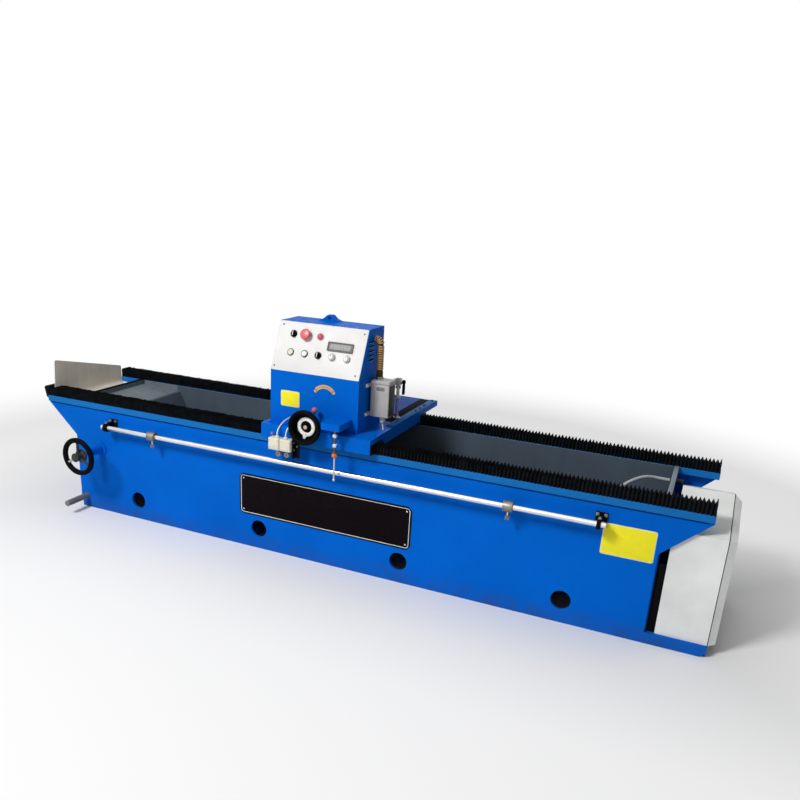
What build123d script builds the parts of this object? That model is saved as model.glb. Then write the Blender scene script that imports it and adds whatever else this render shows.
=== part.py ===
from build123d import *
import math
import os

# Knife grinding machine: a long bed with two rail beams, a carriage that travels along them with a
# vertical grinding head, and a tilting knife table in the trough between the beams.
# Millimetres, +X along the bed to the right, +Y to the rear, +Z up.
# The origin is on the floor, at the middle of the bed's bolt holes.

# Bed
bed_length = 3338.0
bed_depth = 650.0
bed_height = 600.0
beam_width = 80.0
beam_thickness = 30.0
plate_thickness = 12.0
plate_setback = 8.0
plate_overhang = 179.0
plate_foot_chamfer = 20.0
flare_drop = 170.0
flare_edge = 5.0
edge_break = 2.0
access_hole_diameter = 87.0
access_hole_pitch = 748.0
access_hole_height = 105.0
access_hole_shift = 21.0
base_rail_width = 80.0
base_rail_height = 48.0
base_wall = 10.0
base_reach = 243.0
tie_width = 60.0
tie_wall = 5.0
tie_pitch = 930.0
bolt_hole_diameter = 18.0
bolt_spacing_x = 2700.0
bolt_inset = 50.0
bulkhead_thickness = 12.0
left_bulkhead_inset = 160.0
right_bulkhead_inset = 174.0
support_pitch = 940.0
lifting_bar_radius = 16.0
lifting_bar_inset = 35.0
lifting_bar_lift = 1.5
lifting_bar_reach = 153.0
name_plate_length = 910.0
name_plate_width = 210.0
name_plate_thickness = 2.0
name_plate_corner = 6.0
name_plate_x = -5.0
name_plate_bottom = 173.0

# Trough liner
liner_thickness = 3.0
liner_seam = 0.1
trough_depth = 268.5
lip_width = 25.0
shelf_length = 257.0
shelf_drop = 20.0
shelf_fall = 13.0
shelf_wall_run = 122.0
shaft_hole_gap = 2.0

# Splash guard at the left end
guard_setback = 106.0
guard_bend = 25.0
guard_rear = 183.0
guard_front_inset = 12.0
guard_front_height = 194.0
guard_rear_height = 84.0
guard_bellows_gap = 3.0
guard_flare = 12.0
guard_corner = 10.0

# Guide rails, runner blocks and bellows
rail_width = 34.0
rail_height = 29.0
rail_groove_radius = 3.0
rail_groove_share = 0.6
rail_end_gap = 12.0
block_cover = 12.0
block_width = 70.0
block_length = 112.0
block_lift = 7.0
block_inset = 14.0
slide_clearance = 0.3
fold_pitch = 16.0
fold_depth = 9.0
bellows_wall = 12.0
bellows_rail_gap = 5.0
bellows_end_gap = 4.0

# Carriage saddle
carriage_travel_left = 700.0
carriage_travel_right = 800.0
saddle_left = -302.0
saddle_right = 252.0
saddle_front_reach = 45.0
saddle_rear_reach = 168.0
saddle_thickness = 25.0
skirt_thickness = 8.0
end_skirt_height = 30.0
end_skirt_gap = 5.0
rail_slot_gap = 4.0

# Control box and its sloping panel
box_left = -291.0
box_right = 158.0
box_front_inset = 20.0
box_depth = 251.0
box_height = 453.0
panel_rise = 214.0
panel_lean = 91.0
sheet = 2.0
panel_margin = 6.0
louvre_count = 5
louvre_pitch = 20.0
louvre_height = 6.0
louvre_top_drop = 56.0
louvre_front_inset = 90.0
louvre_length = 55.0
gear_window_half = 40.0
lug_length = 122.0
lug_crown = 22.0
lug_left_of_head = 45.0
lug_thickness = 30.0
lug_height = 28.0
lug_back_inset = 20.0
lug_hole_radius = 8.0
feed_boss_radius = 16.0
feed_boss_reach = 40.0

# Controls on the panel: each place is X, then the way up the slope from its lower edge
stop_place = (-141, 175)
lamp_place = (-71, 175)
upper_selector_place = (-208, 175)
start_place = (-206, 90)
white_place = (-134, 90)
lower_selector_place = (-65, 90)
left_knob_place = (5, 90)
right_knob_place = (79, 90)
display_place = (37, 138)
display_size = (126, 42)
display_height = 6.0
display_border = 7.0
display_sink = 1.0
lamp_radius = 14.0
lamp_height = 15.0
lamp_ring_radius = 16.5
lamp_ring_height = 5.0
stem_depth = 22.0
stop_stem = 8.0
stop_radius = 25.0
stop_cap_height = 15.0
stop_cap_lift = 14.0
stop_round = 6.0
cap_radius = 11.0
cap_rise = 4.0
cap_round = 1.5
bezel_radius = 15.0
bezel_height = 5.0
selector_stem = 6.0
selector_radius = 14.0
selector_disc_height = 7.0
selector_grip = (8, 26, 19)
knob_stem = 4.0
knob_foot_radius = 15.0
knob_top_radius = 12.0
knob_height = 17.0
knob_round = 2.0
knob_gap = 0.5
stem_overlap = 3.0

# Grinding head
head_x = -53.0
head_clearance = 6.0
column_thickness = 25.0
column_width = 250.0
column_height = 427.0
slot_width = 70.0
head_rail_width = 20.0
head_rail_depth = 15.0
head_rail_pitch = 190.0
slide_thickness = 35.0
slide_height = 220.0
slide_side_gap = 5.0
slide_above_motor_foot = 40.0
slot_top_drop = 20.0
bridge_gap = 12.0
bridge_height = 12.0
head_rail_foot = 27.0
head_rail_top_drop = 10.0
nut_half = 22.0
nut_height = 50.0
nut_lift = 80.0
clamp_overlap = 5.0
clamp_side = 20.0
clamp_height = 16.0
clamp_end_gap = 5.0
motor_radius = 85.0
motor_length = 280.0
motor_foot_height = 20.0
motor_band_height = 26.0
fan_cover_height = 55.0
fan_cover_round = 12.0
fin_count = 28
fin_depth = 8.0
fin_thickness = 3.0
fin_sink = 6.0
nose_radius = 50.0
spindle_bore_depth = 90.0
wheel_diameter = 200.0
wheel_height = 50.0
wheel_rim = 30.0
wheel_gap = 20.0
hub_thickness = 15.0
wheel_guard_lift = 20.0
wheel_guard_wall = 3.0
wheel_guard_roof = 4.0
wheel_guard_hole_gap = 8.0
flange_radius = 45.0
flange_height = 12.0
nut_radius = 30.0
wheel_to_nose = 50.0
nose_length = 65.0
guard_clearance = 15.0
opening_side_gap = 35.0
opening_front_gap = 3.0
opening_rear_gap = 17.0
slide_gap = 3.0
spindle_radius = 20.0
screw_radius = 8.0

# Running fits, loose holes and gear teeth
running_fit = 0.06
press_gap = 0.02
loose_fit = 0.3
pressure_angle = math.radians(20)
dedendum = 1.25

# Feed drive: handwheel, cross shaft and two equal bevel gears
feed_shaft_radius = 9.0
feed_shaft_lift = 22.0
feed_wheel_radius = 80.0
feed_wheel_reach = 95.0
feed_wheel_width = 22.0
feed_wheel_round = 7.0
feed_rim = 14.0
feed_web = 6.0
feed_dish = 18.0
feed_cup_radius = 67.0
feed_cup_wall = 7.0
feed_cup_round = 4.0
feed_hub_radius = 22.0
feed_hub_length = 14.0
feed_hub_inner = 20.0
dial_outer = 44.0
dial_inner = 27.5
dial_height = 6.5
centre_cap_radius = 16.0
centre_cap_height = 12.0
dial_pin_radius = 9.0
dial_pin_height = 6.5
dial_pin_left = 8.0
dial_pin_gap = 4.0
feed_shaft_rise = 0.5
screw_collar_radius = 12.0
screw_collar_height = 12.0
screw_top_rise = 20.0
clutch_lean = math.radians(10.5)
clutch_gap = 30.0
clutch_ring_width = 10.0
clutch_ring_wall = 5.0
clutch_length = 69.0
clutch_stem_radius = 5.0
lever_ball_radius = 13.0
bevel_module = 2.5
bevel_teeth = 14
bevel_scale = 0.6
bevel_backlash = 0.8

# Traverse drive: rack on the rear beam and pinion under the saddle
rack_module = 4.0
rack_base = 15.0
rack_height = 24.0
pinion_teeth = 20
pinion_x = -150.0
pinion_shaft_radius = 12.0
pinion_hole_gap = 3.0
pinion_shaft_rise = 30.0
gearcase_half = 60.0
gearcase_height = 90.0
gearcase_corner = 10.0
gearmotor_radius = 64.0
gearmotor_height = 190.0
gearmotor_bore_depth = 40.0
rack_end_spare = 60.0
tooth_backlash = 0.5

# Tilting knife table with its worm drive
table_length = 1900.0
table_width = 160.0
table_above_axis = 35.0
table_below_axis = 45.0
table_shaft_radius = 20.0
worm_inset = 157.0
worm_lift = 22.5
tilt_shaft_radius = 12.5
worm_module = 3.0
worm_pitch_radius = 18.0
worm_wheel_teeth = 38
worm_wheel_width = 16.0
worm_turns = 5
worm_shoulder = 5.0
worm_overlap = 0.2
worm_backlash = 1.3
worm_thread_gap = 1.0
tilt_wheel_radius = 100.0
tilt_wheel_reach = 165.0
rim_radius = 13.5
spoke_radius = 8.0
spoke_count = 3
wheel_hub_radius = 24.0
wheel_hub_length = 50.0
boss_radius = 22.0
boss_length = 88.0
boss_inner_length = 14.0
boss_flange = 8.0
boss_flange_radius = 36.0
pedestal_gap = 50.0
pedestal_half = 20.0
pedestal_radius = 40.0
shaft_stub = 60.0
shaft_left_stub = 25.0
worm_bearing_gap = 75.0
worm_bearing_width = 20.0
worm_bearing_radius = 24.0
table_chamfer_width = 30.0
table_chamfer_height = 15.0
t_slot_offset = 40.0
t_slot_throat = 14.0
t_slot_depth = 20.0
t_slot_foot_width = 26.0
t_slot_foot_height = 11.0

# Trip rod, collars and switches
trip_rod_radius = 12.5
trip_rod_drop = 100.0
trip_rod_reach = 50.0
trip_rod_left_inset = 228.0
trip_rod_right_inset = 205.0
left_bracket_inset = 30.0
right_bracket_inset = 28.0
bracket_thickness = 16.0
bracket_radius = 22.0
bracket_foot_width = 48.0
bracket_foot_height = 64.0
bracket_foot_thickness = 7.0
collar_radius = 24.0
collar_width = 42.0
thumb_stem_radius = 4.0
thumb_radius = 9.0
thumb_length = 20.0
thumb_gap = 14.0
left_collar_x = -940.0
right_collar_x = 890.0
roller_radius = 13.0
roller_gap = 3.0
roller_width = 12.0
plunger_radius = 5.0
plunger_length = 26.0
plunger_bore_depth = 39.0
switch_left = -241.0
switch_right = -124.0
switch_gap = 11.0
switch_height = 57.0
switch_depth = 42.0
switch_corner = 6.0
switch_seam = 3.0
switch_gland_radius = 13.0
switch_gland_rise = 8.0
switch_gland_sink = 4.0
roller_inset = 36.0
lead_radius = 3.0
lead_bend = 40.0

# Trip lever and its housing
lever_x = 102.0
lever_gap = 38.0
pivot_rise = 48.0
pivot_radius = 5.0
lever_hub_radius = 10.0
lever_hub_width = 12.0
lever_radius = 6.0
lever_ring_drops = (28, 72)
lever_ring_radius = 13.0
lever_ring_length = 17.0
ball_drop = 128.0
tip_drop = 243.0
tip_stem_radius = 4.0
tip_radius = 6.5
housing_front_gap = 15.0
housing_below_pivot = 14.0
housing_above_pivot = 16.0
housing_left_of_lever = 65.0
housing_right_of_lever = 28.0
housing_wall = 4.0
housing_corner = 6.0

# Junction box and ribbed conduit on the right of the control box
junction_gap = 12.0
junction_width = 90.0
junction_front_inset = 100.0
junction_depth = 75.0
junction_lift = 63.5
junction_height = 167.0
junction_wall = 3.0
junction_corner = 4.0
junction_lid_height = 16.0
junction_lid_lip = 1.5
junction_foot_width = 18.0
junction_foot_height = 16.0
gland_share = 0.55
gland_radius = 11.0
gland_length = 22.0
conduit_inset = 20.0
conduit_back = 50.0
conduit_top_drop = 46.0
conduit_radius = 15.0
conduit_root = 12.5
conduit_bore = 10.0
conduit_collar_height = 10.0
conduit_collar_wall = 2.0
rib_pitch = 12.0

# Coolant riser, its valve and the pipe to the wheel
riser_inset = 52.0
riser_before_head = 48.0
riser_radius = 8.0
riser_flange = 10.0
riser_flange_height = 6.0
valve_rise = 180.0
valve_half_width = 15.0
valve_half_height = 18.0
valve_stem_radius = 6.0
valve_stem_length = 30.0
handle_gap = 22.0
handle_thickness = 12.0
handle_width = 16.0
handle_length = 62.0
handle_round = 5.0
handle_eye_radius = 11.0
nozzle_gap = 19.0
nozzle_rise = 35.0
nozzle_bend = 40.0

# End cover
cover_gap = 35.0
cover_length = 204.0
cover_eaves_drop = 94.0
cover_ridge_drop = 3.0
cover_side_gap = 2.0
cover_cap_depth = 28.0

# Coolant unit under the cover
tank_height = 320.0
tank_wall = 3.0
tank_end_gap = 15.0
tank_side_gap = 55.0
pump_radius = 55.0
pump_height = 140.0
pump_plate_width = 180.0
pump_plate_thickness = 4.0
pump_stem_radius = 35.0
pump_stem_length = 200.0

# Coolant hose in the trough
hose_radius = 7.0
fitting_radius = 11.0
fitting_length = 55.0
fitting_flange = 6.0
end_fitting_y = 142.0
end_fitting_drop = 34.0
end_fitting_reach = 9.0
floor_fitting_inset = 250.0
floor_fitting_forward = 162.0
floor_fitting_rise = 30.0

# Places that follow from the sizes above
half_length = bed_length / 2
half_depth = bed_depth / 2
beam_bottom = bed_height - beam_thickness
beam_inner = half_depth - beam_width
beam_middle = half_depth - beam_width / 2
plate_outer = half_depth - plate_setback
plate_inner = plate_outer - plate_thickness
plate_end = half_length - plate_overhang
base_end = plate_end + base_reach
left_bulkhead = -half_length + left_bulkhead_inset
right_bulkhead = half_length - right_bulkhead_inset
trough_left = left_bulkhead + bulkhead_thickness
trough_right = right_bulkhead - bulkhead_thickness
trough_floor = bed_height - trough_depth
block_height = rail_height + block_cover
saddle_bottom = bed_height + block_lift + block_height
saddle_top = saddle_bottom + saddle_thickness
saddle_front = -half_depth - saddle_front_reach
saddle_rear = half_depth + saddle_rear_reach
skirt_bottom = saddle_bottom - block_height
box_front = -half_depth + box_front_inset
box_back = box_front + box_depth
box_top = saddle_top + box_height
panel_bottom = box_top - panel_rise
panel_top_y = box_front + panel_lean
panel_slope = math.hypot(panel_rise, panel_lean)
panel_plane = Plane(
    origin=(0, box_front, panel_bottom),
    x_dir=(1, 0, 0),
    z_dir=(0, -panel_rise / panel_slope, panel_lean / panel_slope),
)
panel_axis = Axis(panel_plane.origin, panel_plane.z_dir)
column_front = box_back + head_clearance
column_back = column_front + column_thickness
column_top = saddle_top + column_height
screw_y = (column_front + column_back) / 2
slide_front = column_back + slide_gap
slide_back = slide_front + slide_thickness
head_y = slide_back + motor_radius
feed_z = saddle_top + feed_shaft_lift
feed_wheel_y = box_front - feed_wheel_reach
bevel_radius = bevel_module * bevel_teeth / 2
table_y = head_y
worm_x = -plate_end + worm_inset
tilt_shaft_height = trough_floor + worm_lift
table_z = tilt_shaft_height + worm_pitch_radius + worm_module * worm_wheel_teeth / 2
table_corner = math.hypot(table_width / 2, max(table_above_axis, table_below_axis))
wheel_bottom = table_z + table_corner + wheel_gap
wheel_top = wheel_bottom + wheel_height
nose_bottom = wheel_top + wheel_to_nose
motor_bottom = nose_bottom + nose_length
motor_top = motor_bottom + motor_length
guard_radius = wheel_diameter / 2 + guard_clearance
rack_pitch = math.pi * rack_module
rack_root_y = half_depth + rack_base
pitch_line_y = rack_root_y + dedendum * rack_module
pinion_pitch_radius = rack_module * pinion_teeth / 2
pinion_y = pitch_line_y + pinion_pitch_radius
rack_middle_z = bed_height - beam_thickness / 2
trip_rod_y = -half_depth - trip_rod_reach
trip_rod_height = bed_height - trip_rod_drop
trip_rod_left = -plate_end + trip_rod_left_inset
trip_rod_right = plate_end - trip_rod_right_inset
bracket_left = trip_rod_left + left_bracket_inset
bracket_right = trip_rod_right - right_bracket_inset
roller_z = trip_rod_height + collar_radius + roller_gap + roller_radius
tilt_wheel_y = -plate_outer - tilt_wheel_reach
cover_left = right_bulkhead + cover_gap
cover_right = cover_left + cover_length
cover_half = plate_inner - cover_side_gap
cover_eaves = bed_height - cover_eaves_drop
cover_ridge = bed_height - cover_ridge_drop


os.makedirs("parts", exist_ok=True)


# Helpers

def block(x0, x1, y0, y1, z0, z1, mode=Mode.ADD):
    """A rectangular block between two corners."""
    with Locations(((x0 + x1) / 2, (y0 + y1) / 2, (z0 + z1) / 2)):
        Box(x1 - x0, y1 - y0, z1 - z0, mode=mode)


def rod(start, direction, length, radius, mode=Mode.ADD):
    """A round bar from a start point along a direction."""
    with Locations(Plane(origin=start, z_dir=direction)):
        Cylinder(radius, length, align=(Align.CENTER, Align.CENTER, Align.MIN), mode=mode)


def sheet_outline(points, thickness):
    """The closed outline of a bent sheet: one face on the points, the other to their right."""
    shifted = []
    for index, (px, py) in enumerate(points):
        normals = []
        for a, b in ((index - 1, index), (index, index + 1)):
            if a >= 0 and b < len(points):
                dx = points[b][0] - points[a][0]
                dy = points[b][1] - points[a][1]
                length = math.hypot(dx, dy)
                normals.append((dy / length, -dx / length))
        nx = sum(n[0] for n in normals)
        ny = sum(n[1] for n in normals)
        reach = thickness * len(normals) / (nx * nx + ny * ny)
        if len(normals) == 1:
            reach = thickness
        shifted.append((px + nx * reach, py + ny * reach))
    return list(points) + shifted[::-1]


def gear_outline(module, teeth, backlash):
    """The outline of a spur gear with involute flanks, one tooth on the local +X axis."""
    pitch_radius = module * teeth / 2
    base_radius = pitch_radius * math.cos(pressure_angle)
    root_radius = pitch_radius - dedendum * module
    tip_radius = pitch_radius + module
    half_tooth = (math.pi * module / 2 - backlash) / (2 * pitch_radius)
    involute_at_pitch = math.tan(pressure_angle) - pressure_angle

    def half_angle(radius):
        if radius <= base_radius:
            return half_tooth + involute_at_pitch
        pressure = math.acos(base_radius / radius)
        return half_tooth + involute_at_pitch - (math.tan(pressure) - pressure)

    radii = [root_radius] + [
        max(base_radius, root_radius + 0.1) + (tip_radius - max(base_radius, root_radius + 0.1)) * k / 4
        for k in range(5)
    ]
    outline = []
    for tooth in range(teeth):
        centre = 2 * math.pi * tooth / teeth
        for radius in radii:
            angle = centre - half_angle(radius)
            outline.append((radius * math.cos(angle), radius * math.sin(angle)))
        for radius in reversed(radii):
            angle = centre + half_angle(radius)
            outline.append((radius * math.cos(angle), radius * math.sin(angle)))
    return outline


# Bed: side plates, rail beams, base frame and bulkheads

access_holes = [access_hole_shift + (k - 1.5) * access_hole_pitch for k in range(4)]
flare_bottom = beam_bottom - flare_drop
lifting_bar_x = -plate_end + lifting_bar_inset
lifting_bar_z = base_rail_height + lifting_bar_radius + lifting_bar_lift

with BuildPart() as side_plates:
    for y in (-plate_outer, plate_inner):
        with BuildSketch(Plane.XZ.offset(-y)):
            with BuildLine():
                Polyline(
                    (-plate_end, 0),
                    (base_end - plate_foot_chamfer, 0),
                    (base_end, plate_foot_chamfer),
                    (base_end, base_rail_height),
                    (plate_end, base_rail_height),
                    (plate_end, flare_bottom),
                    (half_length, beam_bottom - flare_edge),
                    (half_length, beam_bottom),
                    (-half_length, beam_bottom),
                    (-half_length, beam_bottom - flare_edge),
                    (-plate_end, flare_bottom),
                    close=True,
                )
            make_face()
            with Locations(*[(x, access_hole_height) for x in access_holes]):
                Circle(access_hole_diameter / 2, mode=Mode.SUBTRACT)
            with Locations((lifting_bar_x, lifting_bar_z)):
                Circle(lifting_bar_radius + loose_fit, mode=Mode.SUBTRACT)
        extrude(amount=-plate_thickness)
    rod((worm_x, -plate_outer - 1, tilt_shaft_height), (0, 1, 0), plate_thickness + 2, boss_radius + loose_fit,
        mode=Mode.SUBTRACT)
side_plates.part.label = "side_plates"
export_step(side_plates.part, "parts/side_plates.step")

with BuildPart() as rail_beams:
    for side in (-1, 1):
        with Locations((0, side * beam_middle, bed_height - beam_thickness / 2)):
            Box(bed_length, beam_width, beam_thickness)
    chamfer(rail_beams.edges().filter_by(Axis.X), edge_break)
rail_beams.part.label = "rail_beams"
export_step(rail_beams.part, "parts/rail_beams.step")

bolt_y = plate_inner - bolt_inset
with BuildPart() as base_frame:
    for side in (-1, 1):
        inner = side * (plate_inner - base_wall)
        outer = side * plate_inner
        far = side * (plate_inner - base_rail_width)
        block(-plate_end, base_end, min(inner, outer), max(inner, outer), 0, base_rail_height)
        block(-plate_end, base_end, min(far, outer), max(far, outer), 0, base_wall)
    tie_half = plate_inner - base_rail_width
    for k in range(4):
        x = (k - 1.5) * tie_pitch
        block(x - tie_width / 2, x + tie_width / 2, -tie_half, tie_half, 0, base_rail_height)
        block(x - tie_width / 2 + tie_wall, x + tie_width / 2 - tie_wall, -tie_half, tie_half,
              tie_wall, base_rail_height - tie_wall, mode=Mode.SUBTRACT)
    with GridLocations(bolt_spacing_x, 2 * bolt_y, 2, 2):
        Cylinder(bolt_hole_diameter / 2, 4 * base_wall, mode=Mode.SUBTRACT)
base_frame.part.label = "base_frame"
export_step(base_frame.part, "parts/base_frame.step")

end_fitting_z = bed_height - end_fitting_drop
with BuildPart() as bulkheads:
    for x in (left_bulkhead, trough_right):
        with BuildSketch(Plane.YZ.offset(x)):
            with BuildLine():
                Polyline(
                    (-plate_inner, base_rail_height),
                    (plate_inner, base_rail_height),
                    (plate_inner, beam_bottom),
                    (beam_inner, beam_bottom),
                    (beam_inner, bed_height),
                    (-beam_inner, bed_height),
                    (-beam_inner, beam_bottom),
                    (-plate_inner, beam_bottom),
                    close=True,
                )
            make_face()
        extrude(amount=bulkhead_thickness)
    for side in (-1, 1):
        x = side * support_pitch / 2
        block(x - bulkhead_thickness / 2, x + bulkhead_thickness / 2, -plate_inner, plate_inner,
              base_rail_height, trough_floor - liner_thickness)
    rod((trough_right - 1, end_fitting_y, end_fitting_z), (1, 0, 0), bulkhead_thickness + 2,
        fitting_radius + loose_fit, mode=Mode.SUBTRACT)
bulkheads.part.label = "bulkheads"
export_step(bulkheads.part, "parts/bulkheads.step")

with BuildPart() as lifting_bar:
    rod((lifting_bar_x, -plate_outer - lifting_bar_reach, lifting_bar_z), (0, 1, 0),
        2 * (plate_outer + lifting_bar_reach), lifting_bar_radius)
    chamfer(lifting_bar.edges().filter_by(GeomType.CIRCLE), edge_break)
lifting_bar.part.label = "lifting_bar"
export_step(lifting_bar.part, "parts/lifting_bar.step")

with BuildPart() as name_plate:
    with Locations((name_plate_x, -plate_outer - name_plate_thickness / 2, name_plate_bottom + name_plate_width / 2)):
        Box(name_plate_length, name_plate_thickness, name_plate_width)
    fillet(name_plate.edges().filter_by(Axis.Y), name_plate_corner)
name_plate.part.label = "name_plate"
export_step(name_plate.part, "parts/name_plate.step")

# Trough: a liner of flat sheets with its raised left shelf, and the splash guard at the left end

shelf_left_z = bed_height - shelf_drop
shelf_right_z = shelf_left_z - shelf_fall
inner_left = trough_left + liner_thickness
inner_right = trough_right - liner_thickness
shelf_right_x = inner_left + shelf_length
floor_left_x = shelf_right_x + shelf_wall_run
liner_line = [
    (left_bulkhead - lip_width / 2, bed_height + liner_thickness),
    (inner_left, bed_height + liner_thickness),
    (inner_left, shelf_left_z),
    (shelf_right_x, shelf_right_z),
    (floor_left_x, trough_floor),
    (inner_right, trough_floor),
    (inner_right, bed_height),
]
floor_fitting_x = inner_right - floor_fitting_inset
floor_fitting_y = end_fitting_y - floor_fitting_forward
liner_outline = sheet_outline(liner_line, liner_thickness)
shelf_side = [
    (inner_left + liner_seam, bed_height),
    (inner_left + liner_seam, shelf_left_z + liner_seam),
    (shelf_right_x - liner_seam, shelf_right_z + liner_seam),
    (shelf_right_x - liner_seam, bed_height),
]
trough_side = [
    (shelf_right_x + liner_seam, bed_height),
    (shelf_right_x + liner_seam, shelf_right_z + liner_seam),
    (floor_left_x + liner_seam, trough_floor + liner_seam),
    (inner_right - liner_seam, trough_floor + liner_seam),
    (inner_right - liner_seam, bed_height),
]


def drawn_in(start, end):
    """The two ends of a line, each moved towards the other by the liner's seam."""
    length = math.hypot(end[0] - start[0], end[1] - start[1])
    dx = (end[0] - start[0]) / length * liner_seam
    dz = (end[1] - start[1]) / length * liner_seam
    return (start[0] + dx, start[1] + dz), (end[0] - dx, end[1] - dz)


with BuildPart() as trough_liner:
    for k in range(len(liner_line) - 1):
        upper = drawn_in(liner_outline[k], liner_outline[k + 1])
        lower = drawn_in(liner_outline[-2 - k], liner_outline[-1 - k])
        with BuildSketch(Plane.XZ.offset(-beam_inner)):
            with BuildLine():
                Polyline(*upper, *lower, close=True)
            make_face()
        extrude(amount=2 * beam_inner)
    for y in (beam_inner, -beam_inner + liner_thickness):
        for outline in (shelf_side, trough_side):
            with BuildSketch(Plane.XZ.offset(-y)):
                with BuildLine():
                    Polyline(*outline, close=True)
                make_face()
            extrude(amount=liner_thickness)
    rod((shelf_right_x, table_y, table_z), (1, 0, 0), shelf_wall_run, table_shaft_radius + shaft_hole_gap,
        mode=Mode.SUBTRACT)
    rod((inner_right - 1, end_fitting_y, end_fitting_z), (1, 0, 0), liner_thickness + 2,
        fitting_radius + loose_fit, mode=Mode.SUBTRACT)
    rod((floor_fitting_x, floor_fitting_y, trough_floor - 2 * liner_thickness), (0, 0, 1), 3 * liner_thickness,
        fitting_radius + loose_fit, mode=Mode.SUBTRACT)
trough_liner.part.label = "trough_liner"
export_step(trough_liner.part, "parts/trough_liner.step")

guard_x = left_bulkhead - guard_setback
guard_floor = shelf_left_z
guard_front = -half_depth + guard_front_inset
guard_front_top = bed_height + guard_front_height
guard_rear_top = bed_height + guard_rear_height
guard_over_bellows = saddle_bottom + guard_bellows_gap
guard_inner_front = -beam_inner + liner_thickness
with BuildPart() as splash_guard:
    with BuildSketch(Plane.XZ.offset(-guard_rear)) as guard_section:
        with BuildLine():
            Polyline(
                *sheet_outline(
                    [(guard_x, guard_floor + 2 * guard_bend), (guard_x, guard_floor), (left_bulkhead, guard_floor)],
                    -sheet,
                ),
                close=True,
            )
        make_face()
        inner_corner = guard_section.vertices().sort_by_distance((guard_x + sheet, guard_floor + sheet, 0))[0]
        fillet(inner_corner, guard_bend)
        outer_corner = guard_section.vertices().sort_by_distance((guard_x, guard_floor, 0))[0]
        fillet(outer_corner, guard_bend + sheet)
    extrude(amount=guard_rear - guard_inner_front)
    with BuildSketch(Plane.YZ.offset(guard_x)) as guard_wall:
        with BuildLine():
            Polyline(
                (guard_front - guard_flare, guard_over_bellows),
                (guard_front, guard_front_top),
                (guard_rear, guard_rear_top),
                (guard_rear, guard_floor + guard_bend + sheet),
                (guard_inner_front, guard_floor + guard_bend + sheet),
                (guard_inner_front, guard_over_bellows),
                close=True,
            )
        make_face()
        fillet(guard_wall.vertices().sort_by(Axis.Y)[-2:], guard_corner)
    extrude(amount=sheet)
splash_guard.part.label = "splash_guard"
export_step(splash_guard.part, "parts/splash_guard.step")

# Right end: cover with a roof, its bevelled end cap, and the coolant unit inside

cover_line = [
    (-cover_half, base_rail_height),
    (-cover_half, cover_eaves),
    (0, cover_ridge),
    (cover_half, cover_eaves),
    (cover_half, base_rail_height),
]
with BuildPart() as end_cover:
    with BuildSketch(Plane.YZ.offset(cover_left)):
        with BuildLine():
            Polyline(*sheet_outline(cover_line, sheet), close=True)
        make_face()
    extrude(amount=cover_length)
end_cover.part.label = "end_cover"
export_step(end_cover.part, "parts/end_cover.step")


def gable(inset):
    """The cover's outline, drawn in by an inset at the sides and the roof."""
    return [
        (-cover_half + inset, base_rail_height),
        (-cover_half + inset, cover_eaves - inset / 2),
        (0, cover_ridge - inset),
        (cover_half - inset, cover_eaves - inset / 2),
        (cover_half - inset, base_rail_height),
    ]


with BuildPart() as end_cover_cap:
    with BuildSketch(Plane.YZ.offset(cover_right)):
        with BuildLine():
            Polyline(*gable(0), close=True)
        make_face()
    with BuildSketch(Plane.YZ.offset(cover_right + cover_cap_depth)):
        with BuildLine():
            Polyline(*gable(cover_cap_depth), close=True)
        make_face()
    loft(ruled=True)
    with BuildSketch(Plane.YZ.offset(cover_right - 1)):
        with BuildLine():
            Polyline(*gable(sheet), close=True)
        make_face()
    with BuildSketch(Plane.YZ.offset(cover_right + cover_cap_depth - sheet)):
        with BuildLine():
            Polyline(*gable(cover_cap_depth + sheet), close=True)
        make_face()
    loft(ruled=True, mode=Mode.SUBTRACT)
end_cover_cap.part.label = "end_cover_cap"
export_step(end_cover_cap.part, "parts/end_cover_cap.step")

tank_half = plate_inner - tank_side_gap
tank_left = cover_left + tank_end_gap
tank_right = cover_right - tank_end_gap
tank_middle = (tank_left + tank_right) / 2
pump_seat = base_wall + tank_height
pump_foot = pump_seat + pump_plate_thickness
with BuildPart() as coolant_unit:
    block(tank_left, tank_right, -tank_half, tank_half, base_wall, base_wall + tank_height)
    block(tank_left + tank_wall, tank_right - tank_wall, -tank_half + tank_wall, tank_half - tank_wall,
          base_wall + tank_wall, base_wall + tank_height, mode=Mode.SUBTRACT)
    block(tank_left, tank_right, -pump_plate_width / 2, pump_plate_width / 2, pump_seat, pump_foot)
    rod((tank_middle, 0, pump_foot), (0, 0, 1), pump_height, pump_radius)
    rod((tank_middle, 0, pump_seat), (0, 0, -1), pump_stem_length, pump_stem_radius)
coolant_unit.part.label = "coolant_unit"
export_step(coolant_unit.part, "parts/coolant_unit.step")

# Coolant hose: from the end wall down to the floor of the trough

floor_fitting_top = trough_floor + floor_fitting_rise
hose_points = [
    (inner_right - end_fitting_reach, end_fitting_y, end_fitting_z),
    (inner_right - 56, end_fitting_y, end_fitting_z),
    (inner_right - 100, end_fitting_y - 26, end_fitting_z + 9),
    (inner_right - 143, end_fitting_y - 69, end_fitting_z + 4),
    (inner_right - 188, end_fitting_y - 109, end_fitting_z - 20),
    (inner_right - 226, end_fitting_y - 141, end_fitting_z - 66),
    (floor_fitting_x, floor_fitting_y, floor_fitting_top + 63),
    (floor_fitting_x, floor_fitting_y, floor_fitting_top),
]


def corner_radii(points):
    """The bend radius at each inner point of a route, as large as its two runs allow."""
    radii = []
    for before, here, after in zip(points, points[1:], points[2:]):
        run_in = Vector(*here) - Vector(*before)
        run_out = Vector(*after) - Vector(*here)
        half_turn = math.radians(run_in.get_angle(run_out)) / 2
        radii.append(0.45 * min(run_in.length, run_out.length) / math.tan(half_turn))
    return radii


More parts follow.
